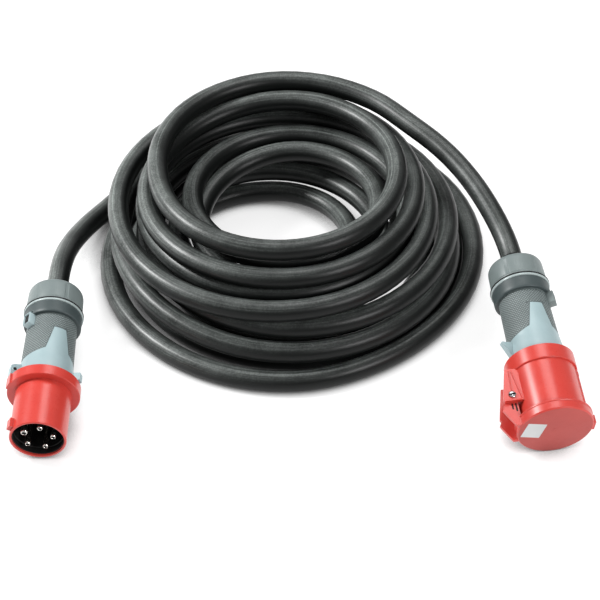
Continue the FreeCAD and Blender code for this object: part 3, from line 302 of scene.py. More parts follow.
@dataclass(frozen=True)
class Metal:
    """A plated or plain metal."""

    name: str
    colour: Colour
    roughness: float
    brushed: float = 0.0

    def material(self) -> bpy.types.Material:
        """Build the finish.

        Returns:
            A metal with faint wear.
        """
        sheet = NodeSheet(self.name)
        wear = sheet.noise(260.0, 5.0, 0.65)
        dull = tuple(0.72 * part for part in self.colour)
        return sheet.surface(
            {
                "Base Color": sheet.mix(sheet.ramp(wear, 0.5, 0.8), self.colour, dull),
                "Metallic": 1.0,
                "Roughness": self.roughness + (wear - 0.5) * (0.12 + self.brushed),
                "Normal": sheet.bump(wear, 0.05, 0.0002),
            }
        )


@dataclass(frozen=True)
class CableRubber:
    """The black rubber of the cable: satin, with pale soiling in lengthwise streaks and specks, and a
    painted sheen that lights the side facing up and to the left.
    """

    name: str = "cable_rubber"
    dark: Colour = (0.0042, 0.0050, 0.0047)
    # The pale colour of the soiling, which also serves as the painted sheen
    dust_and_sheen_colour: Colour = (0.300, 0.330, 0.315)
    painted_sheen_side: Place = (-0.60, 0.16, 0.784)

    def material(self) -> bpy.types.Material:
        """Build the finish.

        Returns:
            The material.
        """
        sheet = NodeSheet(self.name)
        broad = sheet.noise(24.0, 4.0, 0.6)
        specks = sheet.noise(420.0, 6.0, 0.75)
        run = sheet.add("ShaderNodeTexCoord", out="UV")
        along = sheet.add("ShaderNodeMapping", None, {"Vector": run, "Scale": (46.0, 26.0, 1.0)})
        streak = sheet.noise(1.0, 5.0, 0.7, along)
        patches = sheet.ramp(broad * 0.36 + specks * 0.26 + streak * 0.38, 0.40, 0.60)
        lines = sheet.ramp(streak * 0.62 + specks * 0.38, 0.50, 0.64)
        # Painted light: the pale colour is laid only on the side facing up and to the left, as a painted
        # sheen from the key light. The coat is thicker there too.
        lit = sheet.facing(self.painted_sheen_side, 0.12, 1.0)
        dust_and_sheen_share = lit * lit * (0.12 + patches * 0.46 + lines * 0.50)
        return sheet.surface(
            {
                "Base Color": sheet.mix(dust_and_sheen_share, self.dark, self.dust_and_sheen_colour),
                "Roughness": 0.36 + dust_and_sheen_share * 0.20 + (specks - 0.5) * 0.12,
                "Specular IOR Level": 0.16,
                "Coat Weight": 0.05 + lit * (0.35 + patches * 0.35),
                "Coat Roughness": 0.33,
                "Normal": sheet.bump(specks * 0.5 + streak * 0.5, 0.22, 0.0004),
            }
        )


FINISHES: dict[str, Moulding | Metal | CableRubber] = {
    finish.name: finish
    for finish in (
        Moulding("signal_red", (0.60, 0.052, 0.038), (0.55, 0.042, 0.031), 0.28, coat=0.15),
        Moulding("lid_red", (0.58, 0.052, 0.040), (0.54, 0.044, 0.034), 0.30, coat=0.15),
        # Painted shade: a matt, darker red for the lid's face, which faces down and forward
        Moulding("matt_shaded_lid_red", (0.42, 0.058, 0.048), (0.38, 0.050, 0.042), 0.55, grain=0.08),
        Moulding("pale_blue_grey", (0.345, 0.455, 0.475), (0.31, 0.41, 0.43), 0.36),
        Moulding("worn_pale", (0.44, 0.56, 0.58), (0.38, 0.49, 0.51), 0.32, coat=0.2),
        Moulding("mid_grey", (0.175, 0.210, 0.208), (0.140, 0.170, 0.170), 0.44, grain=0.10),
        Moulding("smooth_grey", (0.190, 0.226, 0.224), (0.160, 0.194, 0.193), 0.40, grain=0.12),
        Moulding("grip_top", (0.235, 0.275, 0.272), (0.195, 0.230, 0.228), 0.42),
        # Painted shade: a darker copy of grip_top for the knurl's valleys
        Moulding("grip_valley_shade", (0.100, 0.122, 0.122), (0.082, 0.101, 0.102), 0.55),
        # Painted shade: a dark copy of the collar's grey, for the collar's band where it lies in shade
        Moulding("painted_shade_grey", (0.056, 0.075, 0.077), (0.046, 0.062, 0.064), 0.46),
        # Painted highlight: a light grey for the bead on the collar's lip, where a bright line of light
        # runs
        Moulding("painted_highlight_lip", (0.42, 0.49, 0.49), (0.34, 0.40, 0.40), 0.28, coat=0.2),
        Moulding("black_moulding", (0.006, 0.006, 0.006), (0.010, 0.010, 0.010), 0.5, gloss=0.25),
        Metal("nickel", (0.72, 0.70, 0.66), 0.16),
        Metal("steel", (0.56, 0.57, 0.58), 0.28, 0.1),
        Moulding("black_rubber", (0.008, 0.008, 0.008), (0.012, 0.012, 0.012), 0.6, gloss=0.3),
        Moulding("label_white", (0.56, 0.57, 0.57), (0.50, 0.51, 0.51), 0.35, grain=0.01),
        CableRubber(),
        Moulding("core_green_yellow", (0.25, 0.42, 0.03), (0.5, 0.5, 0.02), 0.4),
        Moulding("core_brown", (0.10, 0.03, 0.012), (0.08, 0.025, 0.01), 0.4),
        Moulding("core_black", (0.01, 0.01, 0.01), (0.015, 0.015, 0.015), 0.4),
        Moulding("core_grey", (0.18, 0.18, 0.18), (0.15, 0.15, 0.15), 0.4),
        Moulding("core_blue", (0.01, 0.05, 0.30), (0.01, 0.04, 0.25), 0.4),
    )
}


@functools.cache
def finish_material(name: str) -> bpy.types.Material:
    """A finish's material, made on first use."""
    return FINISHES[name].material()


@dataclass(frozen=True)
class CoilStation:
    """Where the cable is after a number of turns of the pile."""

    turns: float
    radius: float
    height: float
    centre: tuple[float, float]


@dataclass
class Cable:
    """The whole cable: from the plug's gland, through the pile of turns, to the connector's gland.

    Each run of the pile holds the middle of its turns, and then its stations: the turns made so far,
    the radius and the height.
    """

    diameter: float = 28.0
    start_angle: float = 140.0
    points_per_turn: int = 16
    runs: tuple[tuple[tuple[float, float], tuple[Place, ...]], ...] = (
        ((-9.0, 244.4), (
            (0.00, 262.0, 14.0), (0.30, 255.0, 14.0), (0.42, 245.0, 14.0), (0.53, 234.0, 14.0),
            (0.62, 247.0, 14.0), (0.70, 251.0, 14.0), (0.85, 250.0, 14.0), (1.00, 233.0, 14.0),
            (1.30, 227.0, 14.0), (1.53, 205.0, 14.0), (1.85, 214.0, 14.0),
        )),
        ((-12.0, 244.0), ((2.40, 184.0, 14.0),)),
        ((-16.0, 243.0), ((2.60, 172.0, 14.0),)),
        ((-42.0, 247.0), ((3.10, 124.0, 14.0),)),
        ((-46.0, 249.0), ((3.30, 119.0, 24.0),)),
        ((-46.0, 254.0), ((3.52, 117.0, 42.0),)),
        ((-46.0, 266.0), ((4.14, 118.0, 42.0),)),
        ((-14.0, 246.0), ((4.64, 168.0, 42.0),)),
        ((-12.0, 243.0), (
            (5.45, 220.0, 42.0), (5.66, 228.0, 46.0), (5.80, 229.0, 60.0),
        )),
        ((-13.0, 243.0), ((6.05, 224.0, 71.0),)),
        ((-14.0, 243.0), (
            (6.64, 208.0, 71.0), (7.14, 170.0, 70.0), (7.64, 130.0, 70.0),
        )),
        ((-13.0, 244.0), ((7.88, 120.0, 71.0),)),
        ((-9.0, 246.0), ((8.14, 117.0, 95.0),)),
        ((-8.0, 247.0), ((8.64, 116.0, 99.0),)),
        ((-9.0, 246.0), ((8.80, 122.0, 99.0),)),
        ((-10.0, 245.0), ((8.95, 138.0, 99.0),)),
        ((-14.0, 244.0), ((9.14, 150.0, 99.0),)),
        ((-20.0, 243.0), ((9.64, 174.0, 98.0),)),
        ((-24.0, 242.4), ((10.14, 190.0, 98.0),)),
        ((-26.0, 242.4), (
            (10.64, 206.0, 99.0), (10.80, 214.0, 101.0), (10.96, 214.0, 109.0), (11.14, 195.0, 126.0),
            (11.39, 180.0, 127.0), (11.64, 175.0, 127.0), (11.89, 175.0, 124.0), (12.02, 170.0, 131.0),
            (12.16, 166.0, 150.0), (12.39, 156.0, 156.0), (12.64, 152.0, 154.0), (12.89, 158.0, 158.0),
            (13.02, 179.0, 160.0), (13.14, 194.0, 160.0), (13.25, 198.0, 159.0),
        )),
    )
    plug_straight: tuple[float, ...] = (200.0, 226.0, 286.0)
    connector_straight: tuple[float, ...] = (211.0, 238.0, 286.0)
    plug_bends: tuple[Place, ...] = (
        (-309.0, 216.0, 49.0), (-290.0, 282.0, 29.0), (-256.0, 346.0, 15.0),
    )
    connector_bends: tuple[Place, ...] = (
        (146.0, 351.0, 156.0), (192.0, 306.0, 148.0), (228.0, 257.0, 136.0), (256.0, 206.0, 119.0),
    )

    @functools.cached_property
    def stations(self) -> list[CoilStation]:
        """The stations of the pile in order."""
        return [CoilStation(*row, centre) for centre, rows in self.runs for row in rows]

    def station_at(self, turns: float) -> CoilStation:
        """Blend the stations on either side of a place in the pile.

        Args:
            turns: turns since the cable entered the pile.

        Returns:
            The blended station.
        """
        rows = self.stations
        after = next((i for i, row in enumerate(rows) if row.turns >= turns), len(rows) - 1)
        low, high = rows[max(after - 1, 0)], rows[after]
        span = high.turns - low.turns
        share = 0.0 if span <= 0 else (turns - low.turns) / span

        def blend(one: float, other: float) -> float:
            """The value at that share of the way."""
            return one + (other - one) * share

        left, back = (blend(one, other) for one, other in zip(low.centre, high.centre))
        radius = blend(low.radius, high.radius)
        height = blend(low.height, high.height)
        return CoilStation(turns, radius, height, (left, back))

    def coil_points(self) -> list[Vector]:
        """Control points of the pile.

        Returns:
            Points in millimetres, clockwise seen from above.
        """
        total = self.stations[-1].turns
        count = round(total * self.points_per_turn)
        inset = (3.0 + math.cos(FULL_TURN / self.points_per_turn)) / 4.0
        points = []
        for index in range(count + 1):
            here = self.station_at(total * index / count)
            angle = math.radians(self.start_angle) - FULL_TURN * here.turns
            reach = here.radius / inset
            left = here.centre[0] + reach * math.cos(angle)
            back = here.centre[1] + reach * math.sin(angle)
            points.append(Vector((left, back, here.height)))
        return points

    def route(self) -> list[Vector]:
        """All control points in metres, from inside the plug's gland to inside the connector's."""
        plug_way = [PLUG_FRAME.point(0, 0, place) for place in self.plug_straight]
        connector_way = [CONNECTOR_FRAME.point(0, 0, place) for place in self.connector_straight]
        middle = [Vector(p) * MM for p in self.plug_bends]
        middle += [p * MM for p in self.coil_points()]
        middle += [Vector(p) * MM for p in self.connector_bends]
        return [*plug_way, *middle, *reversed(connector_way)]

    def build(self) -> bpy.types.Object:
        """Make the cable as one smooth curve.

        Returns:
            The cable.
        """
        curve = bpy.data.curves.new("rubber_cable", "CURVE")
        curve.dimensions = "3D"
        curve.bevel_depth = self.diameter * MM / 2
        curve.bevel_resolution = 6
        curve.resolution_u = 4
        curve.use_fill_caps = True
        spline = curve.splines.new("NURBS")
        points = self.route()
        spline.points.add(len(points) - 1)
        for item, point in zip(spline.points, points):
            item.co = (*point, 1.0)
        spline.order_u = 3
        spline.use_endpoint_u = True
        cable = bpy.data.objects.new("rubber_cable", curve)
        bpy.context.scene.collection.objects.link(cable)
        curve.materials.append(finish_material("cable_rubber"))
        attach(cable, "lead")
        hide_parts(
            "cable_plug_tail", "cable_coil_lower", "cable_coil_upper", "cable_connector_tail"
        )
        return cable


class Bench:
    """One piece on the bench: modelled in its end's own millimetres with Blender's operators."""

    def __init__(self, name: str) -> None:
        """Clear the bench for a piece of that name."""
        if bpy.context.object and bpy.context.object.mode == "EDIT":
            bpy.ops.object.mode_set(mode="OBJECT")
        bpy.ops.object.select_all(action="DESELECT")
        self.name = name
        self.radius = 0.0
        self.level = 0.0

    @property
    def piece(self) -> bpy.types.Object:
        """The piece."""
        return bpy.context.view_layer.objects.active

    def _take(self) -> None:
        """Name the new primitive and open it for editing, all of it selected."""
        self.piece.name = self.name
        self.piece.data.name = self.name
        bpy.ops.object.mode_set(mode="EDIT")
        bpy.ops.mesh.select_mode(type="VERT")
        bpy.ops.mesh.select_all(action="SELECT")

    def ring(self, radius: float, level: float, sides: int = RING_SIDES) -> "Bench":
        """Start with a ring round the end's axis."""
        bpy.ops.mesh.primitive_circle_add(vertices=sides, radius=radius, location=(0.0, 0.0, level))
        bpy.ops.object.transform_apply(location=True, rotation=False, scale=False)
        self._take()
        self.radius = radius
        self.level = level
        return self

    def block(self, size: Sequence[float], centre: Sequence[float]) -> "Bench":
        """Start with a block, as a blank for inset and bevel."""
        bpy.ops.mesh.primitive_cube_add(size=1.0, location=tuple(centre))
        self.piece.scale = tuple(size)
        bpy.ops.object.transform_apply(location=True, rotation=False, scale=True)
        self._take()
        return self

    def draw(self, profile: Iterable[tuple[float, float]]) -> "Bench":
        """Extrude the open ring along a profile.

        Args:
            profile: radius and place along the axis of each further ring.

        Returns:
            The bench.
        """
        for radius, level in profile:
            bpy.ops.mesh.extrude_region_move(
                TRANSFORM_OT_translate={"value": (0.0, 0.0, level - self.level)}
            )
            ratio = radius / self.radius
            bpy.ops.transform.resize(value=(ratio, ratio, 1.0), center_override=(0.0, 0.0, level))
            self.radius = radius
            self.level = level
        return self

    def cap(self) -> "Bench":
        """Close the open ring with a face."""
        bpy.ops.mesh.edge_face_add()
        return self

    def weld(self) -> "Bench":
        """Merge the corners that meet, and turn every face outwards."""
        bpy.ops.mesh.select_all(action="SELECT")
        bpy.ops.mesh.remove_doubles(threshold=0.001)
        bpy.ops.mesh.normals_make_consistent(inside=False)
        return self

    def pick(self, test: Callable[[Vector, Vector], bool], least: float = 0.0) -> int:
        """Select faces by their middle and normal.

        Args:
            test: says whether a face is wanted.
            least: the smallest area that is taken.

        Returns:
            How many faces were selected.
        """
        bpy.ops.mesh.select_mode(type="FACE")
        bpy.ops.mesh.select_all(action="DESELECT")
        mesh = bmesh.from_edit_mesh(self.piece.data)
        mesh.normal_update()
        found = 0
        for face in mesh.faces:
            if test(face.calc_center_median(), face.normal) and face.calc_area() >= least:
                face.select_set(True)
                found += 1
        bmesh.update_edit_mesh(self.piece.data)
        return found

    def pick_edges(self, test: Callable[[Vector, Vector], bool]) -> "Bench":
        """Select inner edges by their two ends."""
        bpy.ops.mesh.select_mode(type="EDGE")
        bpy.ops.mesh.select_all(action="DESELECT")
        mesh = bmesh.from_edit_mesh(self.piece.data)
        for edge in mesh.edges:
            if not edge.is_boundary and test(edge.verts[0].co, edge.verts[1].co):
                edge.select_set(True)
        bmesh.update_edit_mesh(self.piece.data)
        return self

    def slice(self, spot: Vector, normal: Vector) -> "Bench":
        """Cut the selected faces along a plane."""
        bpy.ops.mesh.bisect(plane_co=tuple(spot), plane_no=tuple(normal))
        return self

    def thicken(self, wall: float) -> "Bench":
        """Give an open skin a wall on its inner side."""
        bpy.ops.object.mode_set(mode="OBJECT")
        bpy.ops.object.modifier_add(type="SOLIDIFY")
        solid = self.piece.modifiers[-1]
        solid.thickness = wall
        solid.offset = -1.0
        bpy.ops.object.modifier_apply(modifier=solid.name)
        bpy.ops.object.mode_set(mode="EDIT")
        return self

    def sink(self, thickness: float, depth: float) -> "Bench":
        """Inset the selected faces and move them in or out."""
        bpy.ops.mesh.inset(thickness=thickness, depth=depth, use_boundary=True)
        return self

    def soften(self, width: float, segments: int = 2, angle: float = 30.0) -> "Bench":
        """Round the edges that are sharper than an angle."""
        bpy.ops.object.mode_set(mode="OBJECT")
        bpy.ops.object.modifier_add(type="BEVEL")
        bevel = self.piece.modifiers[-1]
        bevel.width = width
        bevel.segments = segments
        bevel.limit_method = "ANGLE"
        bevel.angle_limit = math.radians(angle)
        bpy.ops.object.modifier_apply(modifier=bevel.name)
        return self

    def finish(
        self,
        end: LeadEnd,
        body: str,
        slot: str,
        replaced: Sequence[str] = (),
        where: Matrix | None = None,
        finish: str | None = None,
        accent: str | None = None,
    ) -> bpy.types.Object:
        """Take the piece off the bench and fit it to its end.

        Args:
            end: the end it belongs to.
            body: the body it moves with.
            slot: the material slot of the record.
            replaced: the nodes that it stands for.
            where: its place in the end's millimetres, if not the end's axis.
            finish: a finish other than the slot's own.
            accent: a second finish, for the faces that are selected.

        Returns:
            The fitted piece.
        """
        piece = self.piece
        if piece.mode == "EDIT":
            bpy.ops.object.mode_set(mode="OBJECT")
        accented = [face.index for face in piece.data.polygons if face.select] if accent else []
        bpy.ops.object.select_all(action="DESELECT")
        piece.select_set(True)
        bpy.ops.object.shade_smooth_by_angle(angle=math.radians(SMOOTH_DEGREES))
        piece.matrix_world = END_FRAMES[end].matrix() @ (where or Matrix.Identity(4))
        bpy.ops.object.transform_apply(location=True, rotation=True, scale=True)
        piece.data.materials.clear()
        piece.data.materials.append(finish_material(finish or slot))
        if accent:
            piece.data.materials.append(finish_material(accent))
            for index in accented:
                piece.data.polygons[index].material_index = 1
        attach(piece, body)
        if replaced:
            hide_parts(*replaced)
        log.info("%s: %d faces, on %s", piece.name, len(piece.data.polygons), body)
        return piece


@dataclass
class CableGland:
    """The gland behind a grip: threaded bush, nut with its six grooves, and the cable's cuff."""

    end: LeadEnd
    nut_front: float
    nut_length: float = 34.0
    nut_radius: float = 36.6
    nut_taper: float = 0.8
    thread_radius: float = 29.7
    thread_depth: float = 17.0
    bore: float = 15.0
    flare: float = 4.0
    groove_count: int = 6
    groove_depth: float = 0.35
    cuff_length: float = 42.0
    cuff_proud: float = 15.0
    cuff_radius: float = 14.9
    cuff_bore: float = 13.8
    rib_count: int = 4
    rib_pitch: float = 3.2
    rib_relief: float = 0.35
    bush_sunk: float = 14.0
    bush_neck: float = 16.0
    thread_pitch: float = 2.0
    thread_height: float = 0.6
    seal_depth: float = 12.0
    shoulder: float = 4.0
    shoulder_bore: float = 20.0

    @property
    def back(self) -> float:
        """Where the nut ends."""
        return self.nut_front + self.nut_length

    def nut(self) -> None:
        """Model the nut: rounded at its back, with shallow grooves for the hand."""
        front, back = self.nut_front, self.back
        outer, narrow = self.nut_radius, self.nut_radius - self.nut_taper
        bench = Bench(f"{self.end.value}_grooved_nut")
        bench.ring(self.thread_radius, front).draw(
            [
                (outer - 0.6, front), (outer, front + 0.6), (outer, front + 2.6),
                (outer - 0.5, front + 3.2), (outer, front + 3.8), (narrow, back - 6.5),
                (narrow - 0.5, back - 3.6), (narrow - 1.7, back - 1.4), (narrow - 3.4, back - 0.3),
                (narrow - 5.2, back), (self.bore + self.flare + 4.0, back),
                (self.bore + self.flare + 1.0, back - 0.6), (self.bore + self.flare, back - 1.6),
                (self.bore, back - 6.0), (self.bore, back - 8.0),
                (self.thread_radius - 4.0, front + self.thread_depth + 3.0),
                (self.thread_radius, front + self.thread_depth), (self.thread_radius, front),
            ]
        )
        bench.weld()
        spacing = FULL_TURN / self.groove_count
        half = FULL_TURN / RING_SIDES * 0.7

        def groove(middle: Vector, normal: Vector) -> bool:
            """Whether a face lies in one of the grooves."""
            turn = math.atan2(middle.y, middle.x) % spacing
            off = min(turn, spacing - turn)
            outside = normal.xy.length > SQUARE_ON and middle.xy.length > narrow - 1.0
            return off < half and front + 4.0 < middle.z < back - 6.0 and outside

        if bench.pick(groove):
            bench.sink(0.3, -self.groove_depth)
        bench.soften(0.25, 2, 40.0)
        bench.finish(
            self.end,
            f"{self.end.value}_nut",
            "mid_grey",
            (f"{self.end.value}_gland_nut",),
            finish="smooth_grey",
        )

    def cuff(self) -> None:
        """Model the rubber cuff that eases the cable out of the gland."""
        stop = self.back + self.cuff_proud
        start = stop - self.cuff_length
        rings = [(self.cuff_radius - 0.05, start)]
        for step in range(self.rib_count):
            place = self.back + 1.0 + step * self.rib_pitch
            top = self.cuff_radius - step * 0.12
            foot = top - self.rib_relief
            rings += [(top, place - 0.9), (foot, place - 0.5), (foot, place + 0.5), (top, place + 0.9)]
        rings += [(self.cuff_radius - 0.55, stop), (self.cuff_bore, stop), (self.cuff_bore, start)]
        bench = Bench(f"{self.end.value}_cable_cuff").ring(self.cuff_bore, start, sides=64)
        bench.draw(rings).weld().soften(0.1, 2, 40.0)
        bench.finish(self.end, "lead", "black_rubber")

    def bush(self) -> None:
        """Model the threaded bush, with the shoulder that its seal rests on."""
        front, neck_end = self.nut_front - self.bush_sunk, self.nut_front + self.bush_neck
        outer, inner = self.thread_radius - 0.2, self.thread_radius - 3.2
        root = outer - self.thread_height
        rings = [(outer, front), (outer, self.nut_front + 1.0)]
        place = self.nut_front + 1.6
        while place < neck_end - 2.4:
            rings += [(root, place), (root, place + 0.5), (outer, place + 1.1), (outer, place + 1.5)]
            place += self.thread_pitch
        seat = neck_end - self.seal_depth
        foot = seat - self.shoulder
        rings += [(outer, neck_end - 0.8), (outer - 0.8, neck_end), (inner, neck_end), (inner, seat)]
        rings += [(self.shoulder_bore, seat), (self.shoulder_bore, foot), (inner, foot), (inner, front)]
        bench = Bench(f"{self.end.value}_threaded_bush").ring(inner, front).draw(rings)
        bench.weld().soften(0.08, 1, 40.0)
        bench.finish(self.end, "lead", "pale_blue_grey", (f"{self.end.value}_gland_bush",))

    def build(self) -> None:
        """Model the gland's pieces."""
        self.nut()
        self.cuff()
        self.bush()


@dataclass
class GripSkin:
    """The grip's diamond knurl, open where the tongue and the slide sit, and its collar's lip."""

    end: LeadEnd
    front: float
    tongue_degrees: float
    slide_degrees: float
    length: float = 68.0
    radius: float = 33.1
    taper: float = 1.6
    lift: float = 0.1
    wall: float = 0.5
    columns: int = 54
    rows: int = 17
    relief: float = 0.30
    slope: float = 0.55
    gap: float = 0.4
    slide_half: float = 7.4
    slide_reach: float = 17.0
    lip_radius: float = 38.4
    lip_back: float = 88.0
    outline: tuple[tuple[float, float], ...] = ((37.1, 0.0), (15.5, 10.0), (8.0, 45.0), (0.0, 45.0))

    def reach(self, level: float) -> float:
        """The skin's radius at a place along the axis."""
        return self.radius + self.lift - self.taper * (level - self.front) / self.length

    @staticmethod
    def seen(place: Vector, degrees: float) -> tuple[float, float]:
        """A place's offset across a direction from the axis, and its reach along it."""
        turn = math.radians(degrees)
        return (
            place.y * math.cos(turn) - place.x * math.sin(turn),
            place.x * math.cos(turn) + place.y * math.sin(turn),
        )

    def diamonds(self) -> Bench:
        """Draw a sleeve of squares and turn them into diamonds.

        Returns:
            The bench with the open skin.
        """
        first = self.front + 1.2
        step = (self.length - 2.4) / self.rows
        levels = [first + step * row for row in range(self.rows + 1)]
        bench = Bench(f"{self.end.value}_grip_knurl")
        bench.ring(self.reach(first), first, self.columns)
        bench.draw([(self.reach(level), level) for level in levels[1:]]).weld()
        bpy.ops.mesh.poke(offset=0.0)

        def on_ring(place: Vector) -> bool:
            """Whether a corner lies on one of the drawn rings."""
            return abs((place.z - first) / step - round((place.z - first) / step)) < 0.1

        bench.pick_edges(lambda one, other: on_ring(one) and on_ring(other))
        bpy.ops.mesh.dissolve_edges(use_verts=False)
        return bench

    def trim(self, bench: Bench) -> None:
        """Cut the skin back from the tongue and from the slide."""
        turn = math.radians(self.tongue_degrees)
        across = Vector((-math.sin(turn), math.cos(turn), 0.0))
        corners = [Vector((offset, self.front + level)) for offset, level in self.outline]
        for one, other in zip(corners, corners[1:]):
            run = other - one
            out = Vector((run.y, -run.x)).normalized()
            spot = one + out * self.gap
            for side in (-1.0, 1.0):

                def near(middle: Vector, normal: Vector) -> bool:
                    """Whether a face is close to this edge of the tongue."""
                    offset, along = self.seen(middle, self.tongue_degrees)
                    inside = other.x - 4.0 < offset * side < one.x + 4.0
                    return along > 0.0 and inside and one.y - 5.0 < middle.z < other.y + 5.0

                if bench.pick(near):
                    start = across * spot.x * side + Vector((0.0, 0.0, spot.y))
                    bench.slice(start, across * out.x * side + Vector((0.0, 0.0, out.y)))

        def under_tongue(middle: Vector, normal: Vector) -> bool:
            """Whether a face lies where the tongue is."""
            offset, along = self.seen(middle, self.tongue_degrees)
            if along <= 0.0:
                return False
            for one, other in zip(corners, corners[1:]):
                if other.x <= abs(offset) <= one.x:
                    run = other - one
                    out = Vector((run.y, -run.x)).normalized()
                    return (Vector((abs(offset), middle.z)) - one).dot(out) < self.gap - 0.02
            return False

        if bench.pick(under_tongue):
            bpy.ops.mesh.delete(type="FACE")
        self.notch(bench, self.front + self.length - self.slide_reach, self.front + self.length)
        bpy.ops.mesh.select_all(action="SELECT")
        bpy.ops.mesh.remove_doubles(threshold=0.2)

    def notch(self, bench: Bench, start: float, stop: float) -> None:
        """Open the skin where the slide sits.

        Args:
            bench: the bench with the skin.
            start: where the opening starts along the axis.
            stop: where it stops.
        """
        turn = math.radians(self.slide_degrees)
        across = Vector((-math.sin(turn), math.cos(turn), 0.0))

        def by_slide(middle: Vector, margin: float) -> bool:
            """Whether a place lies in the slide's way, or near it."""
            offset, along = self.seen(middle, self.slide_degrees)
            level = start - margin < middle.z < stop + margin
            return along > 0.0 and level and abs(offset) < self.slide_half + margin

        for side in (-1.0, 1.0):
            bench.pick(lambda middle, normal: by_slide(middle, 9.0))
            bench.slice(across * self.slide_half * side, across * side)
        for level in (start, stop):
            bench.pick(lambda middle, normal: by_slide(middle, 9.0))
            bench.slice(Vector((0.0, 0.0, level)), Vector((0.0, 0.0, 1.0)))
        if bench.pick(lambda middle, normal: by_slide(middle, 0.0)):
            bpy.ops.mesh.delete(type="FACE")

    def knurl(self) -> None:
        """Raise every diamond of the skin."""
        bench = self.diamonds()
        self.trim(bench)
        bench.weld().thicken(self.wall)

        def outer(middle: Vector, normal: Vector) -> bool:
            """Whether a face is on the outside of the skin."""
            away = Vector((middle.x, middle.y, 0.0)).normalized()
            return normal.dot(away) > 0.7 and middle.xy.length > self.reach(middle.z) - self.wall * 0.6

        bench.pick(outer, 2.2)
        bpy.ops.mesh.inset(thickness=self.slope, depth=self.relief, use_individual=True)
        # Painted shade: the valleys between the diamonds take a darker copy of the grip's grey
        bpy.ops.mesh.select_all(action="INVERT")
        bench.finish(self.end, "lead", "mid_grey", finish="grip_top", accent="grip_valley_shade")

    def lip(self) -> None:
        """Model the rounded bead on the collar's lip, in a light colour that is a painted highlight."""
        back = self.front + self.lip_back
        outer = self.lip_radius
        Bench(f"{self.end.value}_collar_lip").ring(outer - 1.0, back - 3.2, FINE_RING_SIDES).draw(
            [
                (outer - 0.5, back - 3.2), (outer + 0.15, back - 2.8), (outer + 0.3, back - 2.0),
                (outer + 0.3, back - 1.2), (outer + 0.1, back - 0.4), (outer - 0.5, back + 0.1),
                (outer - 1.0, back + 0.1), (outer - 1.0, back - 3.2),
            ]
        ).weld().soften(0.12, 2, 25.0).finish(self.end, "lead", "mid_grey", finish="painted_highlight_lip")

    def band(self) -> None:
        """Model the smooth dark band round the collar, open where the slide sits: painted shade on the
        collar's flare and side.
        """
        start = self.front + self.length
        bench = Bench(f"{self.end.value}_collar_shade_band").ring(32.2, start - 0.25, FINE_RING_SIDES)
        bench.draw([(36.2, start - 0.3), (36.9, start + 0.9), (37.12, start + 2.4), (37.12, start + 6.0)])
        bench.draw([(37.12, start + 11.0), (37.12, start + 16.2)]).weld()
        self.notch(bench, start - 2.0, start + 5.4)
        bench.weld().thicken(0.3)
        bench.weld()
        # Painted shade: the band takes the dark copy of the grey
        bench.finish(self.end, "lead", "mid_grey", finish="painted_shade_grey")

    def seal_and_shade_ring(self) -> None:
        """Model the black sealing ring between the lip and the nut, raised up to the lip so that its black
        also stands as painted shade in the groove.
        """
        level = self.front + self.lip_back
        outer = self.lip_radius + 0.55
        # Partly painted shade: the seal is black, and it stands up to the lip to fill the shaded groove
        Bench(f"{self.end.value}_seal_and_shade_ring").ring(35.2, level + 0.2, FINE_RING_SIDES).draw(
            [
                (outer - 0.4, level + 0.2), (outer, level + 0.6), (outer, level + 1.4),
                (outer - 0.4, level + 1.8), (35.2, level + 1.8), (35.2, level + 0.2),
            ]
        ).weld().finish(self.end, "lead", "black_rubber")

    def build(self) -> None:
        """Model the knurl with its painted valley shade, the dark band of painted shade, the lip with its
        painted highlight and the black ring behind it.
        """
        self.knurl()
        self.band()
        self.lip()
        self.seal_and_shade_ring()


@dataclass
class LockSlide:
    """The nut lock: a slide in the grip, with a dark catch in its window."""

    end: LeadEnd
    start: float
    degrees: float
    width: float = 13.0
    length: float = 17.0
    low: float = 30.7
    high: float = 40.6
    finish: str = "worn_pale"

    def build(self) -> None:
        """Model the slide and its catch."""
        turn = Matrix.Rotation(math.radians(self.degrees), 4, "Z")
        middle = self.start + self.length / 2
        size = (self.high - self.low, self.width, self.length)
        bench = Bench(f"{self.end.value}_slide_frame")
        bench.block(size, ((self.low + self.high) / 2, 0.0, middle)).weld()
        if bench.pick(lambda place, normal: normal.x > SQUARE_ON):
            bench.sink(0.9, 0.0).sink(0.3, -0.4).sink(0.2, -3.2)
        bench.soften(0.7, 3, 60.0)
        bench.finish(
            self.end,
            f"{self.end.value}_lock",
            "pale_blue_grey",
            (f"{self.end.value}_lock_slide",),
            where=turn,
            finish=self.finish,
        )
        catch = Bench(f"{self.end.value}_slide_catch")
        catch.block((1.6, self.width - 3.1, self.length - 3.1), (self.high - 2.7, 0.0, middle)).weld()
        if catch.pick(lambda place, normal: normal.x > SQUARE_ON):
            catch.sink(1.6, 0.0).sink(0.5, 0.7)
        catch.soften(0.25, 2, 50.0)
        catch.finish(self.end, f"{self.end.value}_lock", "black_moulding", where=turn)


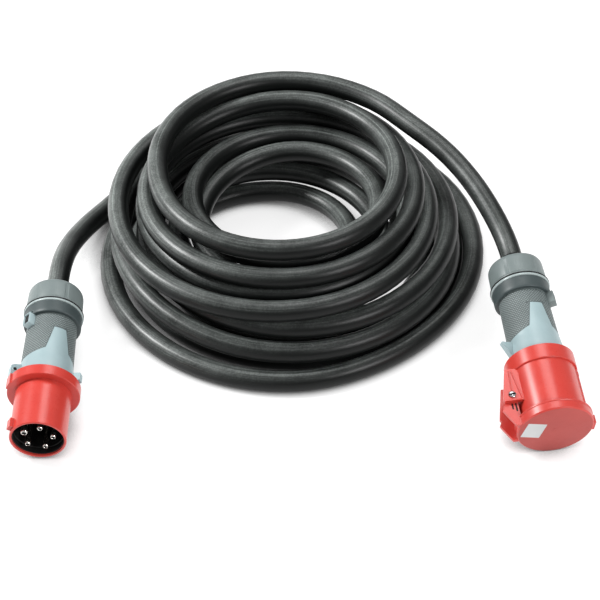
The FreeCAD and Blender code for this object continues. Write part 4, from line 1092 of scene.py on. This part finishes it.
@dataclass
class PlugPins:
    """The five pins of the plug: one thick earth pin and four thinner ones."""

    circle: float = 19.0
    key_angle: float = 30.0
    contact_step: float = 72.0
    earth_radius: float = 5.0
    phase_radius: float = 4.0
    shank_step: float = 0.5
    terminal_radius: float = 6.5
    tip: float = 2.5
    dome: tuple[tuple[float, float], ...] = (
        (0.16, 2.0), (0.48, 1.7), (0.56, 0.4), (0.63, 0.05),
        (0.72, 0.15), (0.84, 0.75), (0.94, 1.6), (1.0, 2.9),
    )
    carrier: float = 50.0
    terminal_front: float = 66.0
    terminal_end: float = 96.0
    nodes: tuple[str, ...] = (
        "plug_earth_pin", "plug_pin_l1", "plug_pin_l2", "plug_pin_l3", "plug_pin_neutral"
    )

    def build(self) -> None:
        """Turn each pin with a rounded, cupped tip, and stand it on the circle."""
        for index, node in enumerate(self.nodes):
            radius = self.earth_radius if index == 0 else self.phase_radius
            dome = [(radius * share, self.tip + behind) for share, behind in self.dome]
            shank = radius - self.shank_step
            body = [
                (radius, self.carrier - 1.2), (shank, self.carrier - 1.0),
                (shank, self.terminal_front), (self.terminal_radius, self.terminal_front),
                (self.terminal_radius, self.terminal_end),
            ]
            bench = Bench(f"{node}_turned")
            bench.ring(dome[0][0], dome[0][1], 40).cap()
            bench.draw(dome[1:] + body).cap().weld()
            angle = math.radians(self.key_angle + self.contact_step * index)
            spot = Matrix.Translation((self.circle * math.cos(angle), self.circle * math.sin(angle), 0.0))
            # Painted shade: the middle of each cupped tip is painted black, for the dark inside of the cup
            bench.pick(lambda place, normal: place.z < self.tip + 2.1 and place.xy.length < radius * 0.54)
            bench.finish(LeadEnd.PLUG, "lead", "nickel", (node,), where=spot, accent="black_moulding")


@dataclass
class MouthShadeLiner:
    """The black lining of the plug's sleeve, from its mouth inwards: black like the lining further in, and
    brought forward to the mouth as painted shade for the dim inside.
    """

    front: float = 3.2
    back: float = 11.9
    outer: float = 32.42
    wall: float = 0.9

    def build(self) -> None:
        """Model the lining's front ring."""
        inner = self.outer - self.wall
        rings = [(self.outer, self.back), (inner, self.back), (inner, self.front + 0.8)]
        # Painted shade: the black ring darkens the mouth of the sleeve, where shade falls
        bench = Bench("plug_mouth_shade_liner").ring(self.outer, self.front)
        bench.draw([*rings, (self.outer, self.front)]).weld()
        bench.finish(LeadEnd.PLUG, "lead", "black_moulding")


@dataclass
class HingePin:
    """The steel pin of the lid's hinge, with a slotted head on the upper lug."""

    reach: float = 48.5
    level: float = 37.0
    half_length: float = 24.0
    radius: float = 2.4
    head_radius: float = 4.6
    head_height: float = 2.6
    slot_turn: float = 8.0
    slot_half: float = 1.25
    slot_depth: float = 1.5

    def build(self) -> None:
        """Turn the pin, cut its slot and paint the slot black as painted shade."""
        top = self.half_length + self.head_height
        bench = Bench("slotted_hinge_pin")
        bench.ring(self.radius * 0.6, -self.half_length - 0.6, 40).cap()
        bench.draw(
            [
                (self.radius, -self.half_length), (self.radius, self.half_length),
                (self.head_radius - 0.3, self.half_length),
                (self.head_radius, self.half_length + 0.3), (self.head_radius, top - 0.9),
                (self.head_radius - 0.5, top - 0.25), (self.head_radius - 1.2, top),
            ]
        )
        bench.cap().weld()
        for side in (-self.slot_half, self.slot_half):
            bpy.ops.mesh.select_all(action="SELECT")
            bpy.ops.mesh.bisect(plane_co=(0.0, side, 0.0), plane_no=(0.0, 1.0, 0.0))
        if bench.pick(
            lambda place, normal: normal.z > 0.2 and place.z > top - 1.0 and abs(place.y) < self.slot_half
        ):
            bpy.ops.mesh.extrude_region_move(TRANSFORM_OT_translate={"value": (0.0, 0.0, -self.slot_depth)})
        bench.weld()
        # Painted shade: the slot's floor and walls are painted black, for the shadow in the slot
        bench.pick(
            lambda place, normal: abs(place.y) < self.slot_half + 0.05
            and top - self.head_height < place.z
            and place.xy.length < self.head_radius
            and (normal.z > 0.2 or abs(normal.y) > SQUARE_ON)
        )
        lie = Matrix.Translation((self.reach, 0.0, self.level))
        lie = lie @ Matrix.Rotation(math.radians(-90.0), 4, "X")
        lie = lie @ Matrix.Rotation(math.radians(self.slot_turn), 4, "Z")
        bench.finish(LeadEnd.CONNECTOR, "lead", "steel", ("hinge_pin",), where=lie, accent="black_moulding")


@dataclass(frozen=True)
class Strip:
    """A narrow strip on a flat face: its two ends, width and height."""

    start: tuple[float, float]
    stop: tuple[float, float]
    width: float
    height: float


@dataclass
class HingeTrim:
    """The raised ribs of the hinge lugs, and black strips on the lid's arms that are painted shade where
    the gaps at the hinge lie.
    """

    lug_face: float = 24.0
    arm_face: float = 19.6
    ribs: tuple[Strip, ...] = (
        Strip((46.5, 72.0), (48.3, 43.0), 1.5, 1.1),
        Strip((43.5, 72.0), (37.0, 30.5), 1.5, 1.1),
        Strip((36.0, 28.9), (59.6, 28.9), 1.7, 1.5),
    )
    # Painted shade: thin black strips on the arms' faces, where the gaps at the hinge lie in shadow
    slots: tuple[Strip, ...] = (
        Strip((46.0, 15.5), (46.0, 27.0), 2.0, 0.16),
        Strip((50.5, 18.5), (50.5, 27.0), 2.0, 0.16),
    )

    def lay(self, name: str, strip: Strip, face: float, body: str, slot: str, finish: str) -> None:
        """Model one strip and lay it on both of the hinge's sides.

        Args:
            name: the strips' name.
            strip: its ends and size.
            face: how far the face is from the hinge's middle.
            body: the body it moves with.
            slot: the material slot of the record.
            finish: its finish.
        """
        run = Vector((strip.stop[0] - strip.start[0], 0.0, strip.stop[1] - strip.start[1]))
        middle = Vector(((strip.start[0] + strip.stop[0]) / 2, 0.0, (strip.start[1] + strip.stop[1]) / 2))
        along = run.normalized()
        for label, side in (("upper", 1.0), ("lower", -1.0)):
            out = Vector((0.0, side, 0.0))
            turn = Matrix((along, out.cross(along), out)).transposed().to_4x4()
            bench = Bench(f"{name}_{label}")
            bench.block((run.length, strip.width, strip.height), (0.0, 0.0, strip.height / 2)).weld()
            if bench.pick(lambda place, normal: normal.z > SQUARE_ON):
                bench.sink(min(0.3, strip.width * 0.2), 0.0)
            bench.soften(strip.height * 0.3, 2, 50.0)
            bench.finish(
                LeadEnd.CONNECTOR,
                body,
                slot,
                where=Matrix.Translation(middle + out * face) @ turn,
                finish=finish,
            )

    def build(self) -> None:
        """Model the ribs, and the black strips of painted shade."""
        for number, rib in enumerate(self.ribs):
            self.lay(f"hinge_lug_rib_{number}", rib, self.lug_face, "lead", "signal_red", "signal_red")
        # Painted shade: the black strips go on both arms
        for number, slot in enumerate(self.slots):
            name = f"lid_arm_slot_{number}"
            self.lay(name, slot, self.arm_face, "lid", "black_moulding", "black_moulding")


@dataclass
class EarEye:
    """The eye in the plug's ear, for a tether."""

    degrees: float = 25.0
    reach: float = 42.0
    face: float = 5.0
    level: float = 94.0
    radius: float = 3.6

    def build(self) -> None:
        """Model the eye's rim and its hole, whose floor is painted black as painted shade."""
        rim = self.radius
        bench = Bench("plug_ear_eye").ring(rim, -0.4, 48)
        bench.draw(
            [(rim, 0.3), (rim - 0.3, 0.6), (rim - 0.9, 0.6), (rim - 1.2, 0.35), (rim - 1.2, 0.08)]
        ).cap().weld()
        # Painted shade: the floor of the eye is painted black, for the dark of the hole
        bench.pick(lambda place, normal: place.z < 0.2 and place.xy.length < 0.5 and normal.z > SQUARE_ON)
        spot = Matrix.Rotation(math.radians(self.degrees), 4, "Z")
        spot = spot @ Matrix.Translation((self.reach, self.face, self.level))
        spot = spot @ Matrix.Rotation(math.radians(-90.0), 4, "X")
        bench.finish(LeadEnd.PLUG, "lead", "pale_blue_grey", where=spot, accent="black_moulding")


@dataclass
class LidFace:
    """What stands on the lid: its matt face, darkened as painted shade, its back bead, a plain label and
    the gate mark.
    """

    face: float = -5.0
    radius: float = 46.7
    skirt: float = 9.0
    label: tuple[float, float] = (25.0, 29.0)
    label_at: tuple[float, float] = (28.0, 3.0)
    label_turn: float = 15.0

    def build(self) -> None:
        """Model the matt face in a red darkened as painted shade, the bead round the lid's back edge, the
        label and the gate mark.
        """
        low, back = self.radius + 1.6, self.skirt - 0.3
        Bench("lid_edge_bead").ring(low, back, FINE_RING_SIDES).draw(
            [(low + 0.6, back), (low + 1.0, back - 0.5), (low + 1.0, back - 2.0), (low + 0.6, back - 2.6)]
        ).draw([(low, back - 2.8), (low, back)]).weld().soften(0.2, 2, 20.0).finish(
            LeadEnd.CONNECTOR, "lid", "lid_red"
        )
        # Painted shade: the face is a darker red than the lid, for its downward tilt
        Bench("matt_shaded_lid_face").ring(self.radius, self.face + 0.1, FINE_RING_SIDES).cap().draw(
            [(self.radius, self.face - 0.04), (self.radius - 0.2, self.face - 0.12)]
        ).cap().weld().finish(LeadEnd.CONNECTOR, "lid", "lid_red", finish="matt_shaded_lid_red")
        bench = Bench("plain_label")
        bench.block((self.label[0], self.label[1], 0.3), (0.0, 0.0, -0.15)).weld()
        if bench.pick(lambda place, normal: normal.z < -SQUARE_ON):
            bench.sink(0.8, 0.0).sink(0.15, -0.06)
        bench.soften(0.08, 1, 50.0)
        spot = Matrix.Translation((self.label_at[0], self.label_at[1], self.face)) @ Matrix.Rotation(
            math.radians(self.label_turn), 4, "Z"
        )
        bench.finish(LeadEnd.CONNECTOR, "lid", "label_white", ("blank_label",), where=spot)
        mark = Bench("lid_gate_mark")
        mark.ring(3.2, self.face + 0.2, 40).draw([(3.2, self.face - 0.25), (2.6, self.face - 0.35)])
        mark.draw([(2.2, self.face - 0.2), (1.0, self.face - 0.2)])
        mark.cap().weld().finish(LeadEnd.CONNECTOR, "lid", "lid_red", finish="matt_shaded_lid_red")


@dataclass
class Studio:
    """Pale floor, soft lights and the camera of the photograph."""

    focal_px: float = 2200.0
    image_px: float = 600.0
    distance: float = 2.95
    elevation: float = 43.1
    target: Place = (0.0021, 0.1634, 0.0)
    lit_spot: Place = (0.0, 0.2, 0.05)
    lights: tuple[tuple[str, Place, float, float], ...] = (
        ("key_softbox", (-1.9, 0.4, 1.8), 0.6, 66.0),
        ("fill_softbox", (1.5, -1.2, 1.3), 0.8, 29.0),
        ("top_softbox", (0.3, 1.0, 2.2), 1.0, 15.0),
    )
    sky_strength: float = 0.32
    floor_side: float = 24.0
    floor_glow: float = 0.80
    shadow_reach: float = 0.042

    def camera(self) -> None:
        """Place the camera."""
        data = bpy.data.cameras.new("studio_camera")
        data.sensor_width = 36.0
        data.lens = self.focal_px / self.image_px * data.sensor_width
        data.clip_end = 50.0
        view = bpy.data.objects.new("studio_camera", data)
        angle = math.radians(self.elevation)
        offset = Vector((0.0, -math.cos(angle), math.sin(angle))) * self.distance
        view.location = Vector(self.target) + offset
        view.rotation_euler = (math.radians(90.0 - self.elevation), 0.0, 0.0)
        bpy.context.scene.collection.objects.link(view)
        bpy.context.scene.camera = view

    def light(self, name: str, where: Sequence[float], size: float, watts: float) -> None:
        """Add one soft area light aimed at the pile.

        Args:
            name: its name.
            where: its place in metres.
            size: side of its square in metres.
            watts: its power.
        """
        data = bpy.data.lights.new(name, "AREA")
        data.energy = watts
        data.size = size
        lamp = bpy.data.objects.new(name, data)
        lamp.location = where
        aim = Vector(self.lit_spot) - Vector(where)
        lamp.rotation_euler = aim.to_track_quat("-Z", "Y").to_euler()
        bpy.context.scene.collection.objects.link(lamp)

    def sky(self) -> None:
        """Light everything evenly from all round."""
        world = bpy.data.worlds.new("studio_world")
        world.use_nodes = True
        background = world.node_tree.nodes["Background"]
        background.inputs[0].default_value = (1.0, 1.0, 1.0, 1.0)
        background.inputs[1].default_value = self.sky_strength
        bpy.context.scene.world = world

    def floor(self) -> None:
        """Lay the white floor: it glows evenly, and its glow and colour are painted darker close to the
        pile, as painted shadow.
        """
        bpy.ops.object.select_all(action="DESELECT")
        bpy.ops.mesh.primitive_plane_add(size=self.floor_side, location=(0.0, 0.0, 0.0))
        floor = bpy.context.active_object
        floor.name = "studio_floor"
        sheet = NodeSheet("floor_paper")
        painted_shadow_ao = sheet.add(
            "ShaderNodeAmbientOcclusion", {"samples": 8}, {"Distance": self.shadow_reach}, out="AO"
        )
        # Painted shadow: ambient occlusion darkens the floor's glow and colour where the pile stands close
        share = sheet.ramp(painted_shadow_ao, 0.22, 0.68)
        paper = {
            "Base Color": sheet.mix(share, (0.10, 0.10, 0.10), (0.36, 0.36, 0.36)),
            "Roughness": 0.9,
            "Specular IOR Level": 0.0,
            "Emission Color": sheet.mix(share, (0.03, 0.03, 0.03), (1.0, 1.0, 1.0)),
            "Emission Strength": self.floor_glow,
        }
        floor.data.materials.append(sheet.surface(paper))

    def build(self) -> None:
        """Set the stage."""
        self.camera()
        for name, where, size, watts in self.lights:
            self.light(name, where, size, watts)
        self.sky()
        self.floor()
        bpy.context.scene.view_settings.view_transform = "Standard"


def dress_nodes() -> None:
    """Give every CAD node the finish of its slot."""
    slots = {row["node"]: row["material_slot"] for row in frame["record"]["subparts"]}
    for name, node in frame["nodes"].items():
        node.data.materials.clear()
        node.data.materials.append(finish_material(slots[name]))


def main() -> None:
    """Build the scene piece by piece."""
    Studio().build()
    log.info("studio set")
    cable = Cable().build()
    log.info("cable made: %s", cable.name)
    PlugPins().build()
    MouthShadeLiner().build()
    HingePin().build()
    HingeTrim().build()
    LidFace().build()
    EarEye().build()
    CableGland(LeadEnd.PLUG, nut_front=202.0).build()
    CableGland(LeadEnd.CONNECTOR, nut_front=213.0).build()
    GripSkin(LeadEnd.PLUG, front=112.0, tongue_degrees=119.0, slide_degrees=42.0).build()
    GripSkin(LeadEnd.CONNECTOR, front=123.0, tongue_degrees=105.0, slide_degrees=160.0).build()
    LockSlide(LeadEnd.PLUG, start=164.0, degrees=42.0).build()
    LockSlide(LeadEnd.CONNECTOR, start=175.0, degrees=160.0, finish="smooth_grey").build()
    dress_nodes()
    log.info("nodes dressed")


if __name__ == "__main__":
    main()
